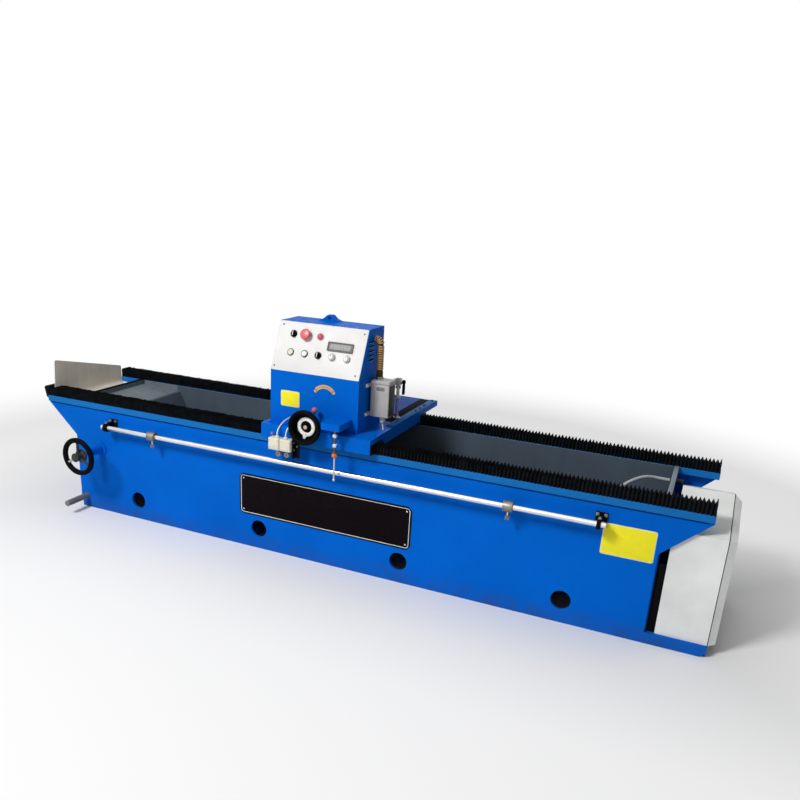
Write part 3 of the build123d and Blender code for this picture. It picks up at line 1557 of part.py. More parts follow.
conduit_bottom = junction_top + conduit_collar_height
rib_start = conduit_bottom + 2 * conduit_radius
rib_count = int((conduit_top - 2 * conduit_radius - rib_start) // rib_pitch)
rib_end = rib_start + rib_count * rib_pitch
with BuildPart() as conduit:
    for k in range(rib_count):
        z = rib_start + k * rib_pitch
        for step, radius in ((0, conduit_root), (0.25, conduit_radius), (0.6, conduit_radius), (0.85, conduit_root)):
            with BuildSketch(Plane.XY.offset(z + step * rib_pitch)):
                with Locations((conduit_x, conduit_y)):
                    Circle(radius)
    with BuildSketch(Plane.XY.offset(rib_end)):
        with Locations((conduit_x, conduit_y)):
            Circle(conduit_root)
    loft(ruled=True)
    rod((conduit_x, conduit_y, conduit_bottom), (0, 0, 1), rib_start - conduit_bottom, conduit_root)
    rod((conduit_x, conduit_y, rib_end), (0, 0, 1), conduit_top - rib_end, conduit_radius)
    with Locations((conduit_x, conduit_y, conduit_top)):
        Sphere(conduit_radius)
    rod((box_right, conduit_y, conduit_top), (1, 0, 0), conduit_x - box_right, conduit_radius)
    rod((conduit_x, conduit_y, conduit_bottom), (0, 0, 1), rib_end - conduit_bottom, conduit_bore, mode=Mode.SUBTRACT)
conduit.part.label = "conduit"
export_step(conduit.part, "parts/conduit.step")

# Coolant riser with its valve, and the pipe to the wheel

riser_x = saddle_right - riser_inset
riser_y = head_y - riser_before_head
valve_z = saddle_top + valve_rise
nozzle_x = head_x + guard_radius + nozzle_gap
nozzle_bottom = wheel_bottom + nozzle_rise
with BuildPart() as coolant_pipe:
    rod((riser_x, riser_y, saddle_top), (0, 0, 1), valve_z - saddle_top, riser_radius)
    rod((riser_x, riser_y, saddle_top), (0, 0, 1), riser_flange_height, riser_radius + riser_flange)
    block(riser_x - valve_half_width, riser_x + valve_half_width, riser_y - valve_half_width,
          riser_y + valve_half_width, valve_z - valve_half_height, valve_z + valve_half_height)
    with BuildLine() as nozzle_path:
        FilletPolyline((riser_x, riser_y, valve_z), (nozzle_x, riser_y, valve_z), (nozzle_x, riser_y, nozzle_bottom),
                       radius=nozzle_bend)
    with BuildSketch(Plane(origin=(riser_x, riser_y, valve_z), z_dir=(-1, 0, 0))):
        Circle(riser_radius - 1)
    sweep(path=nozzle_path.line)
    rod((riser_x, riser_y, valve_z), (1, 0, 0), valve_stem_length, valve_stem_radius)
coolant_pipe.part.label = "coolant_pipe"
export_step(coolant_pipe.part, "parts/coolant_pipe.step")

handle_x = riser_x + handle_gap
with BuildPart() as valve_handle:
    block(handle_x, handle_x + handle_thickness, riser_y - handle_width / 2, riser_y + handle_width / 2,
          valve_z - handle_length, valve_z)
    rod((handle_x, riser_y, valve_z), (1, 0, 0), handle_thickness, handle_eye_radius)
    fillet(valve_handle.edges().filter_by(Axis.X).sort_by(Axis.Z)[:2], handle_round)
    rod((handle_x - 1, riser_y, valve_z), (1, 0, 0), handle_thickness + 2, valve_stem_radius + running_fit,
        mode=Mode.SUBTRACT)
valve_handle.part.label = "valve_handle"
export_step(valve_handle.part, "parts/valve_handle.step")

# Grinding head: column, slide, motor, guard, spindle and cup wheel

slot_top = column_top - slot_top_drop
bridge_bottom = feed_z + bevel_radius + bridge_gap
rail_bottom = saddle_top + head_rail_foot
with BuildPart() as column:
    block(head_x - column_width / 2, head_x + column_width / 2, column_front, column_back, saddle_top, column_top)
    block(head_x - slot_width / 2, head_x + slot_width / 2, column_front - 1, column_back + 1, saddle_top, slot_top,
          mode=Mode.SUBTRACT)
    block(head_x - slot_width / 2, head_x + slot_width / 2, column_front + 1, column_back - 1, bridge_bottom,
          bridge_bottom + bridge_height)
    rod((head_x, screw_y, saddle_top), (0, 0, 1), column_height + 1, screw_radius + running_fit, mode=Mode.SUBTRACT)
    for side in (-1, 1):
        x = head_x + side * head_rail_pitch / 2
        block(x - head_rail_width / 2, x + head_rail_width / 2, column_back, column_back + head_rail_depth,
              rail_bottom, column_top - head_rail_top_drop)
column.part.label = "column"
export_step(column.part, "parts/column.step")

slide_bottom = motor_bottom + slide_above_motor_foot
slide_half = column_width / 2 - slide_side_gap
nut_bottom = slide_bottom + nut_lift
clamp_depth = 2 * motor_radius + clamp_overlap
clamp_half = motor_radius + clamp_side
with BuildPart() as head_slide:
    block(head_x - slide_half, head_x + slide_half, slide_front, slide_back, slide_bottom,
          slide_bottom + slide_height)
    for side in (-1, 1):
        x = head_x + side * head_rail_pitch / 2
        block(x - head_rail_width / 2 - slide_clearance, x + head_rail_width / 2 + slide_clearance, slide_front - 1,
              column_back + head_rail_depth + slide_clearance, slide_bottom - 1, slide_bottom + slide_height + 1,
              mode=Mode.SUBTRACT)
    block(head_x - nut_half, head_x + nut_half, column_front + 1, slide_front, nut_bottom, nut_bottom + nut_height)
    rod((head_x, screw_y, nut_bottom - 1), (0, 0, 1), nut_height + 2, screw_radius + running_fit, mode=Mode.SUBTRACT)
    for z in (slide_bottom + clamp_end_gap, slide_bottom + slide_height - clamp_height - clamp_end_gap):
        block(head_x - clamp_half, head_x + clamp_half, slide_back, slide_back + clamp_depth, z, z + clamp_height)
    rod((head_x, head_y, motor_bottom), (0, 0, 1), motor_length, motor_radius + loose_fit, mode=Mode.SUBTRACT)
head_slide.part.label = "head_slide"
export_step(head_slide.part, "parts/head_slide.step")

with BuildPart() as motor:
    rod((head_x, head_y, motor_bottom), (0, 0, 1), motor_length, motor_radius - fin_sink)
    rod((head_x, head_y, motor_bottom), (0, 0, 1), motor_foot_height, motor_radius)
    for z in (slide_bottom, slide_bottom + slide_height - motor_band_height):
        rod((head_x, head_y, z), (0, 0, 1), motor_band_height, motor_radius)
    fin_middle = slide_bottom + slide_height / 2
    for k in range(fin_count):
        turn = 2 * math.pi * k / fin_count
        outward = (math.cos(turn), math.sin(turn), 0)
        with Locations(Plane(origin=(head_x, head_y, fin_middle), x_dir=outward, z_dir=(0, 0, 1))):
            with Locations((motor_radius - fin_depth / 2 - 1, 0, 0)):
                Box(fin_depth, fin_thickness, slide_height - 2 * motor_foot_height)
    rod((head_x, head_y, nose_bottom), (0, 0, 1), motor_bottom - nose_bottom, nose_radius)
    rod((head_x, head_y, motor_top), (0, 0, 1), fan_cover_height, motor_radius)
    fillet(motor.faces().sort_by(Axis.Z)[-1].edges(), fan_cover_round)
    rod((head_x, head_y, nose_bottom), (0, 0, 1), spindle_bore_depth, spindle_radius + running_fit,
        mode=Mode.SUBTRACT)
motor.part.label = "motor"
export_step(motor.part, "parts/motor.step")

guard_bottom = wheel_bottom + wheel_guard_lift
guard_height = nose_bottom - guard_bottom
with BuildPart() as wheel_guard:
    rod((head_x, head_y, guard_bottom), (0, 0, 1), guard_height, guard_radius)
    rod((head_x, head_y, guard_bottom), (0, 0, 1), guard_height - wheel_guard_roof, guard_radius - wheel_guard_wall,
        mode=Mode.SUBTRACT)
    rod((head_x, head_y, guard_bottom), (0, 0, 1), guard_height, spindle_radius + wheel_guard_hole_gap,
        mode=Mode.SUBTRACT)
wheel_guard.part.label = "wheel_guard"
export_step(wheel_guard.part, "parts/wheel_guard.step")

spindle_bottom = wheel_top - hub_thickness - flange_height - 1
spindle_top = nose_bottom + spindle_bore_depth - 10
with BuildPart() as spindle:
    rod((head_x, head_y, spindle_bottom), (0, 0, 1), spindle_top - spindle_bottom, spindle_radius)
    rod((head_x, head_y, wheel_top), (0, 0, 1), flange_height, flange_radius)
    rod((head_x, head_y, wheel_top - hub_thickness), (0, 0, -1), flange_height, nut_radius)
spindle.part.label = "spindle"
export_step(spindle.part, "parts/spindle.step")

with BuildPart() as cup_wheel:
    rod((head_x, head_y, wheel_bottom), (0, 0, 1), wheel_height, wheel_diameter / 2)
    rod((head_x, head_y, wheel_bottom), (0, 0, 1), wheel_height - hub_thickness, wheel_diameter / 2 - wheel_rim,
        mode=Mode.SUBTRACT)
    rod((head_x, head_y, wheel_bottom), (0, 0, 1), wheel_height, spindle_radius + loose_fit, mode=Mode.SUBTRACT)
cup_wheel.part.label = "cup_wheel"
export_step(cup_wheel.part, "parts/cup_wheel.step")

# Traverse drive: rack, pinion and gear motor

rack_left = pinion_x - carriage_travel_left - rack_end_spare
rack_right = pinion_x + carriage_travel_right + rack_end_spare
tooth_half = (rack_pitch / 2 - tooth_backlash) / 2
flank = math.tan(pressure_angle)
with BuildPart() as gear_rack:
    with BuildSketch(Plane.XY.offset(rack_middle_z - rack_height / 2)):
        first = math.floor((rack_left - pinion_x) / rack_pitch) + 1
        last = math.ceil((rack_right - pinion_x) / rack_pitch) - 1
        rack_line = [(pinion_x + first * rack_pitch, half_depth), (pinion_x + first * rack_pitch, rack_root_y)]
        for k in range(first, last):
            centre = pinion_x + (k + 0.5) * rack_pitch
            foot = tooth_half + flank * dedendum * rack_module
            tip = tooth_half - flank * rack_module
            tip_y = pitch_line_y + rack_module
            rack_line += [(centre - foot, rack_root_y), (centre - tip, tip_y), (centre + tip, tip_y),
                          (centre + foot, rack_root_y)]
        rack_line += [(pinion_x + last * rack_pitch, rack_root_y), (pinion_x + last * rack_pitch, half_depth)]
        with BuildLine():
            Polyline(*rack_line, close=True)
        make_face()
    extrude(amount=rack_height)
gear_rack.part.label = "gear_rack"
export_step(gear_rack.part, "parts/gear_rack.step")

with BuildPart() as pinion:
    with BuildSketch(Plane(origin=(pinion_x, pinion_y, rack_middle_z - rack_height / 2), x_dir=(0, -1, 0),
                           z_dir=(0, 0, 1))):
        with BuildLine():
            Polyline(*gear_outline(rack_module, pinion_teeth, tooth_backlash), close=True)
        make_face()
    extrude(amount=rack_height)
    rod((pinion_x, pinion_y, rack_middle_z), (0, 0, 1), saddle_top + pinion_shaft_rise - rack_middle_z,
        pinion_shaft_radius)
pinion.part.label = "pinion"
export_step(pinion.part, "parts/pinion.step")

with BuildPart() as gearmotor:
    block(pinion_x - gearcase_half, pinion_x + gearcase_half, pinion_y - gearcase_half, pinion_y + gearcase_half,
          saddle_top, saddle_top + gearcase_height)
    fillet(gearmotor.edges().filter_by(Axis.Z), gearcase_corner)
    rod((pinion_x, pinion_y, saddle_top + gearcase_height), (0, 0, 1), gearmotor_height, gearmotor_radius)
    fillet(gearmotor.faces().sort_by(Axis.Z)[-1].edges(), gearcase_corner)
    rod((pinion_x, pinion_y, saddle_top), (0, 0, 1), gearmotor_bore_depth, pinion_shaft_radius + running_fit,
        mode=Mode.SUBTRACT)
gearmotor.part.label = "gearmotor"
export_step(gearmotor.part, "parts/gearmotor.step")
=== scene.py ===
"""Looks of a long-bed knife grinding machine: finishes, covers, controls, fittings, stage and camera."""

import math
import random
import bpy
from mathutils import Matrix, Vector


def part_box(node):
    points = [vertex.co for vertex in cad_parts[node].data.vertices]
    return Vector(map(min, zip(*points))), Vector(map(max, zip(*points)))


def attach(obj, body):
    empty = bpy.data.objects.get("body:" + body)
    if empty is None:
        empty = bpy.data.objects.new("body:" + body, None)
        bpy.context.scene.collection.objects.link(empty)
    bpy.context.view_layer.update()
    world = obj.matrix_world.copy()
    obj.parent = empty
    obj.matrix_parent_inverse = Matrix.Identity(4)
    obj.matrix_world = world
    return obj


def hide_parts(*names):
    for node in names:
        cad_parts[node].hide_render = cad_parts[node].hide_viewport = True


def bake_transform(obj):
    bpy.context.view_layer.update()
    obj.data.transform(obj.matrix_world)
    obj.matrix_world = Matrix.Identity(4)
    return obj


bl_info = {
    "name": "Knife grinding machine",
    "version": (1, 0, 0),
    "blender": (4, 5, 0),
    "location": "View3D > Sidebar > Grinder",
    "description": "Finishes, folded covers, controls and fittings of a long-bed knife grinding machine",
    "category": "Object",
}

import bmesh
import bpy
from bpy.props import FloatProperty, FloatVectorProperty, IntProperty, PointerProperty
from mathutils import Matrix, Vector

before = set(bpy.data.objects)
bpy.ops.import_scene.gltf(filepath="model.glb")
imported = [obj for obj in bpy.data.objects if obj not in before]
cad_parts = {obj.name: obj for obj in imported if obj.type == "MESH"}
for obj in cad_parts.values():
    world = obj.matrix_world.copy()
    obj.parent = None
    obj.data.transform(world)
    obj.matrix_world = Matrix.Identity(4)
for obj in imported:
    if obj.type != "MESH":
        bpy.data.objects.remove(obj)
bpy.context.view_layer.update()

FRONT = (0, -1, 0)
REAR = (0, 1, 0)
LEFT = (-1, 0, 0)
RIGHT = (1, 0, 0)
UPWARD = (0, 0, 1)
DOWNWARD = (0, 0, -1)
HERE = Matrix.Identity(4)

# The control panel leans back from its lower edge
PANEL_FOOT = Vector((0, -0.305, 0.912))
PANEL_RISE = 0.214
PANEL_LEAN = 0.091
PANEL_THICKNESS = 0.002

# Places on the panel: X, then the way up its slope
STOP_PLACES = {"stop_button": (-0.141, 0.175)}
LAMP_PLACE = (-0.071, 0.175)
SELECTOR_PLACES = {"upper_selector": (-0.208, 0.175), "lower_selector": (-0.065, 0.090)}
BUTTON_PLACES = {"start_button": (-0.206, 0.090), "white_button": (-0.134, 0.090)}
KNOB_PLACES = {"left_knob": (0.005, 0.090), "right_knob": (0.079, 0.090)}
DISPLAY_PLACE = (0.037, 0.138)
PANEL_SCREWS = ((-0.270, 0.214), (0.139, 0.210), (-0.276, 0.020), (0.135, 0.022))

# The hose's route, from the fitting on the right end wall to the one on the trough floor
HOSE_ROUTE = (
    (1.471, 0.142, 0.566),
    (1.424, 0.142, 0.566),
    (1.380, 0.116, 0.575),
    (1.337, 0.073, 0.570),
    (1.292, 0.033, 0.546),
    (1.254, 0.001, 0.500),
    (1.230, -0.020, 0.4245),
    (1.230, -0.020, 0.3615),
)

# The trough's raised shelf, drawn paler than the floor below it as painted light on its lit top
SHELF_LENGTH = 0.262
SHELF_HEIGHT = 0.566
# How much more red, green and blue it has than the floor: painted light
SHELF_PAINTED_LIGHT = (2.0, 1.82, 1.56)


def colour_property(name, description, default):
    """A colour that a user would change."""
    return FloatVectorProperty(name=name, description=description, subtype="COLOR", size=3, min=0, max=1,
                               default=default)


def length_property(name, description, default):
    """A size that a user would change, in metres."""
    return FloatProperty(name=name, description=description, unit="LENGTH", min=0, default=default)


def power_property(name, description, default):
    """The power of a lamp, in watts."""
    return FloatProperty(name=name, description=description, unit="POWER", default=default)


class GrinderColours(bpy.types.PropertyGroup):
    """Colours of the machine's paints, plastics and cloth."""

    bed_blue: colour_property("Bed blue", "Enamel on the bed and the carriage", (0.0005, 0.116, 0.56))
    # The beams' blue is lighter and greener than the bed's: their own enamel, with the sky's sheen at grazing
    # angles painted in
    beam_blue_with_sheen: colour_property("Beam blue", "Enamel on the two rail beams", (0.010, 0.150, 0.46))
    motor_blue: colour_property("Motor blue", "Paint on the motors", (0.004, 0.07, 0.28))
    bellows_black: colour_property("Bellows black", "Cloth of the folded covers", (0.0075, 0.0092, 0.0115))
    trough_slate: colour_property("Trough slate", "Paint inside the trough", (0.068, 0.092, 0.120))
    guard_grey: colour_property("Guard grey", "Bare sheet of the splash guard", (0.78, 0.72, 0.62))
    cover_white: colour_property("Cover white", "Paint on the end cover", (0.80, 0.82, 0.80))
    panel_white: colour_property("Panel white", "Face of the control panel", (0.735, 0.725, 0.71))
    switch_ivory: colour_property("Switch ivory", "Plastic of the limit switches", (0.72, 0.68, 0.55))
    stop_red: colour_property("Stop red", "Mushroom of the stop button", (0.63, 0.11, 0.13))
    ball_red: colour_property("Ball red", "Ball on the clutch lever", (0.60, 0.11, 0.14))
    ball_orange: colour_property("Ball orange", "Ball on the trip lever", (0.58, 0.15, 0.08))
    start_green: colour_property("Start green", "Cap of the start button", (0.60, 0.68, 0.46))
    plate_yellow: colour_property("Plate yellow", "Blank plates on the front", (0.88, 0.79, 0.026))
    mark_amber: colour_property("Mark amber", "Curved plate above the feed wheel", (0.70, 0.42, 0.14))
    box_grey: colour_property("Box grey", "Cast junction box", (0.44, 0.42, 0.41))
    conduit_tan: colour_property("Conduit tan", "Ribbed conduit", (0.46, 0.27, 0.11))
    hose_grey: colour_property("Hose grey", "Coolant hose", (0.42, 0.44, 0.46))
    pipe_violet: colour_property("Pipe violet", "Lower end of the coolant riser", (0.33, 0.31, 0.64))


class GrinderSizes(bpy.types.PropertyGroup):
    """Sizes of details that only the looks need."""

    fold_pitch: length_property("Fold pitch", "Distance from one bellows fold to the next", 0.016)
    fold_depth: length_property("Fold depth", "How far the valleys of the folds are drawn in", 0.012)
    fold_unevenness: length_property("Fold unevenness", "How much the folds differ in height", 0.0022)
    cloth_wall: length_property("Cloth wall", "Thickness of the bellows cloth", 0.0012)
    screw_head: length_property("Screw head", "Radius of the small screw heads", 0.004)
    rib_pitch: length_property("Rib pitch", "Distance from one conduit rib to the next", 0.010)
    dial_ticks: IntProperty(name="Dial ticks", description="Marks round the feed dial", min=4, default=40)


class GrinderStage(bpy.types.PropertyGroup):
    """Floor, lamps and camera."""

    floor_colour: colour_property("Floor", "Pale studio floor", (0.86, 0.86, 0.86))
    ambient: FloatProperty(name="Ambient", description="Light of the pale room on the object", default=0.36)
    key_power: power_property("Key power", "Soft lamp at the upper left front", 290)
    fill_power: power_property("Fill power", "Soft lamp at the right", 9)
    top_power: power_property("Top power", "Soft lamp above the rear", 20)
    focal_length: FloatProperty(name="Focal length", description="Lens of the camera in millimetres",
                                default=34.854)


# Places and shapes

def facing(origin, out, up=None):
    """A place whose Z axis points out of a surface and whose Y axis points up along it."""
    z = Vector(out).normalized()
    if up is None:
        up = (0, 1, 0) if abs(z.z) > 0.9 else (0, 0, 1)
    x = Vector(up).cross(z).normalized()
    place = Matrix((x, z.cross(x), z)).transposed().to_4x4()
    place.translation = Vector(origin)
    return place


def at(x, y, z):
    """A place that is moved and not turned."""
    return Matrix.Translation((x, y, z))


def spun(degrees):
    """A turn about Z."""
    return Matrix.Rotation(math.radians(degrees), 4, "Z")


def on_panel(place, height=PANEL_THICKNESS):
    """A place on the sloping panel, Z pointing out of it."""
    up = Vector((0, PANEL_LEAN, PANEL_RISE)).normalized()
    out = Vector((0, -PANEL_RISE, PANEL_LEAN)).normalized()
    return facing(PANEL_FOOT + Vector((place[0], 0, 0)) + up * place[1] + out * height, out, up)


def soften(shape, radius, segments=2, edges=None):
    """Rounds the given edges of a shape, or all of them."""
    chosen = list(shape.edges) if edges is None else edges
    bmesh.ops.bevel(shape, geom=chosen, offset=radius, affect="EDGES", segments=segments, profile=0.5,
                    material=-1)


def extruded(result):
    """The new vertices and edges of an extrusion."""
    verts = [item for item in result["geom"] if isinstance(item, bmesh.types.BMVert)]
    edges = [item for item in result["geom"] if isinstance(item, bmesh.types.BMEdge)]
    return verts, edges


def block(size, radius=0.001, segments=2):
    """A block with rounded edges about the origin."""
    shape = bmesh.new()
    bmesh.ops.create_cube(shape, size=1)
    bmesh.ops.scale(shape, vec=size, verts=shape.verts)
    soften(shape, radius, segments)
    return shape


def turned(profile, steps=40, closed=False):
    """A profile of radius and height points, turned about Z."""
    shape = bmesh.new()
    points = [shape.verts.new((radius, 0, height)) for radius, height in profile]
    pairs = list(zip(points, points[1:]))
    if closed:
        pairs.append((points[-1], points[0]))
    edges = [shape.edges.new(pair) for pair in pairs]
    bmesh.ops.spin(shape, geom=points + edges, cent=(0, 0, 0), axis=UPWARD, angle=2 * math.pi, steps=steps,
                   use_merge=True)
    bmesh.ops.remove_doubles(shape, verts=shape.verts, dist=1e-6)
    bmesh.ops.recalc_face_normals(shape, faces=shape.faces)
    return shape


def corner_arc(centre, radius, start, end, steps=4):
    """Points on an arc, angles in degrees."""
    angles = [math.radians(start + (end - start) * k / steps) for k in range(steps + 1)]
    return [(centre[0] + radius * math.cos(a), centre[1] + radius * math.sin(a)) for a in angles]


def ring(inner, outer, low, high, edge=0.0008, steps=40):
    """A ring with rounded edges about Z."""
    bends = (
        ((outer - edge, low + edge), -90),
        ((outer - edge, high - edge), 0),
        ((inner + edge, high - edge), 90),
        ((inner + edge, low + edge), 180),
    )
    loop = [point for centre, start in bends for point in corner_arc(centre, edge, start, start + 90, 3)]
    return turned(loop, steps, closed=True)


def rod(radius, length, edge=0.0006, steps=28):
    """A round rod along Z from the origin, with broken edges."""
    foot = [(0, 0), (radius - edge, 0), (radius, edge)]
    head = [(across, length - up) for across, up in reversed(foot)]
    return turned(foot + head, steps)


def pin(radius, low, high, steps=24):
    """A plain round pin along Z between two heights."""
    return turned([(0, low), (radius, low), (radius, high), (0, high)], steps)


def dome(radius, height, foot=0.0, steps=32):
    """A rounded cap on a straight foot."""
    crown = corner_arc((0, 0), 1, 0, 90, 8)
    profile = [(0, 0), (radius, 0)]
    profile += [(radius * x, foot + (height - foot) * y) for x, y in crown]
    profile[-1] = (0, height)
    return turned(profile, steps)


def ball(radius):
    """A ball about the origin."""
    shape = bmesh.new()
    bmesh.ops.create_uvsphere(shape, u_segments=32, v_segments=20, radius=radius)
    return shape


def hexagon(radius, height, edge=0.0008):
    """A hexagon head from the origin along Z."""
    shape = bmesh.new()
    bmesh.ops.create_cone(shape, cap_ends=True, segments=6, radius1=radius, radius2=radius, depth=height)
    bmesh.ops.translate(shape, vec=(0, 0, height / 2), verts=shape.verts)
    soften(shape, edge)
    return shape


def knurled(radius, length, teeth=26, depth=0.0008):
    """A knurled grip along Z from the origin."""
    shape = bmesh.new()
    rim = bmesh.ops.create_circle(shape, cap_ends=True, segments=2 * teeth, radius=radius)["verts"]
    bmesh.ops.scale(shape, vec=(1 - depth / radius, 1 - depth / radius, 1), verts=rim[::2])
    top = extruded(bmesh.ops.extrude_face_region(shape, geom=list(shape.faces)))[0]
    bmesh.ops.translate(shape, vec=(0, 0, length), verts=top)
    bmesh.ops.recalc_face_normals(shape, faces=shape.faces)
    return shape


def socket_screw(radius, height):
    """A screw head with a round socket in its face."""
    socket = radius * 0.5
    edge = radius * 0.15
    floor = height * 0.35
    inside = [(0, floor), (socket, floor), (socket, height)]
    outside = [(radius - edge, height), (radius, height - edge), (radius, 0), (0, 0)]
    return turned(inside + outside, 24)


def flat_plate(points, thickness, corner=0.0, edge=0.0003, corner_steps=4):
    """An outline in the XY plane, its corners rounded, raised by a thickness along Z."""
    shape = bmesh.new()
    face = shape.faces.new([shape.verts.new((x, y, 0)) for x, y in points])
    if face.normal.z < 0:
        face.normal_flip()
    top = extruded(bmesh.ops.extrude_face_region(shape, geom=[face]))[0]
    bmesh.ops.translate(shape, vec=(0, 0, thickness), verts=top)
    if corner:
        upright = [e for e in shape.edges if abs(e.verts[0].co.z - e.verts[1].co.z) > thickness / 2]
        soften(shape, corner, corner_steps, upright)
    bmesh.ops.recalc_face_normals(shape, faces=shape.faces)
    if edge:
        rim = [e for e in shape.edges if min(v.co.z for v in e.verts) > thickness - 1e-6]
        soften(shape, edge, 2, rim)
    return shape


def rectangle(width, height):
    """The corners of a rectangle about the origin."""
    x = width / 2
    y = height / 2
    return [(-x, -y), (x, -y), (x, y), (-x, y)]


def corners(x, y):
    """The four places at plus and minus X and Y."""
    return [(side * x, rise * y) for side in (-1, 1) for rise in (-1, 1)]


def frame_line(width, height, line, thickness, corner):
    """A thin raised line along the edge of a rectangle with rounded corners."""
    shape = flat_plate(rectangle(width, height), thickness, corner, edge=0)
    top = [f for f in shape.faces if f.normal.z > 0.9]
    bmesh.ops.inset_region(shape, faces=top, thickness=line, use_even_offset=True)
    x = (width - line) / 2
    y = (height - line) / 2
    inside = {v for v in shape.verts if abs(v.co.x) < x and abs(v.co.y) < y}
    middle = [f for f in shape.faces if f.normal.z > 0.9 and inside.issuperset(f.verts)]
    sunk = {v for f in middle for v in f.verts}
    bmesh.ops.translate(shape, vec=(0, 0, -thickness * 0.8), verts=list(sunk))
    return shape


def arc_band(inner, outer, start, end, thickness, steps=24):
    """A flat band along an arc about Z, angles in degrees."""
    shape = bmesh.new()
    section = ((inner, 0), (outer, 0), (outer, thickness), (inner, thickness))
    face = shape.faces.new([shape.verts.new((x, 0, z)) for x, z in section])
    turn = Matrix.Rotation(math.radians(start), 3, "Z")
    bmesh.ops.rotate(shape, cent=(0, 0, 0), matrix=turn, verts=shape.verts)
    sweep = math.radians(end - start)
    bmesh.ops.spin(shape, geom=[face], cent=(0, 0, 0), axis=UPWARD, angle=sweep, steps=steps)
    bmesh.ops.remove_doubles(shape, verts=shape.verts, dist=1e-6)
    bmesh.ops.recalc_face_normals(shape, faces=shape.faces)
    return shape


def curve_line(name, route, radius):
    """A smooth round curve along a route."""
    data = bpy.data.curves.new(name, "CURVE")
    data.dimensions = "3D"
    data.bevel_depth = radius
    data.bevel_resolution = 6
    data.resolution_u = 12
    data.use_fill_caps = True
    spline = data.splines.new("NURBS")
    spline.points.add(len(route) - 1)
    for point, place in zip(spline.points, route):
        point.co = (*place, 1)
    spline.order_u = 3
    spline.use_endpoint_u = True
    line = bpy.data.objects.new(name, data)
    bpy.context.scene.collection.objects.link(line)
    return line


def shape_of(source):
    """The finished mesh of a helper object as a shape, with the object removed."""
    graph = bpy.context.evaluated_depsgraph_get()
    mesh = bpy.data.meshes.new_from_object(source.evaluated_get(graph), depsgraph=graph)
    shape = bmesh.new()
    shape.from_mesh(mesh)
    bpy.data.objects.remove(source)
    bpy.data.meshes.remove(mesh)
    bmesh.ops.remove_doubles(shape, verts=shape.verts, dist=1e-6)
    return shape


def tube(route, radius):
    """A round tube along a smooth route."""
    shape = shape_of(curve_line("tube", route, radius))
    bmesh.ops.recalc_face_normals(shape, faces=shape.faces)
    return shape


def numeral(text, height, thickness=0.0003):
    """A number, centred on the origin in the XY plane."""
    data = bpy.data.curves.new("numeral", "FONT")
    data.body = text
    data.size = height
    data.extrude = thickness
    data.align_x = "CENTER"
    data.align_y = "CENTER"
    writing = bpy.data.objects.new("numeral", data)
    bpy.context.scene.collection.objects.link(writing)
    return shape_of(writing)


def helper_object(name, shape):
    """A shape as an object that is only needed for a while."""
    mesh = bpy.data.meshes.new(name)
    shape.to_mesh(mesh)
    shape.free()
    made = bpy.data.objects.new(name, mesh)
    bpy.context.scene.collection.objects.link(made)
    return made


def drilled(shape, holes):
    """A shape with holes, each a radius, a depth and a place whose Z axis goes into the shape."""
    cutters = bmesh.new()
    for radius, depth, place in holes:
        middle = place @ at(0, 0, depth / 2)
        bmesh.ops.create_cone(cutters, cap_ends=True, segments=40, radius1=radius, radius2=radius,
                              depth=depth, matrix=middle)
    cutter = helper_object("cutter", cutters)
    body = helper_object("drilled", shape)
    drill = body.modifiers.new("drill", "BOOLEAN")
    drill.operation = "DIFFERENCE"
    drill.solver = "EXACT"
    drill.object = cutter
    bpy.context.view_layer.update()
    result = shape_of(body)
    bpy.data.objects.remove(cutter)
    return result


def finish_name(name):
    """The name of a finish in the file, apart from the slots of the parts."""
    return "finish_" + name


class Piece:
    """Shapes gathered into one piece of the machine, each in its own finish."""

    def __init__(self, name):
        self.name = name
        self.gathered = bmesh.new()
        self.finishes = []

    def add(self, shape, place, finish):
        """Puts a shape at a place, in a finish."""
        if finish not in self.finishes:
            self.finishes.append(finish)
        for face in shape.faces:
            face.material_index = self.finishes.index(finish)
        shape.transform(place)
        mesh = bpy.data.meshes.new("shape")
        shape.to_mesh(mesh)
        shape.free()
        self.gathered.from_mesh(mesh)
        bpy.data.meshes.remove(mesh)

    def done(self, body, slot, *stands_for, smooth=38):
        """The piece as an object on a body of the machine; with no body it is left unattached."""
        mesh = bpy.data.meshes.new(self.name)
        self.gathered.to_mesh(mesh)
        self.gathered.free()
        for finish in self.finishes:
            mesh.materials.append(bpy.data.materials[finish_name(finish)])
        mesh.polygons.foreach_set("use_smooth", [True] * len(mesh.polygons))
        mesh.set_sharp_from_angle(angle=math.radians(smooth))
        piece = bpy.data.objects.new(self.name, mesh)
        bpy.context.scene.collection.objects.link(piece)
        if stands_for:
            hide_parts(*stands_for)
        if body:
            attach(piece, body)
        return piece


# Finishes

def toned(colour, share):
    """A colour made darker or lighter."""
    return tuple(min(1.0, channel * share) for channel in colour)


def towards(colour, other, share):
    """A colour drawn towards another."""
    return tuple(a + (b - a) * share for a, b in zip(colour, other))


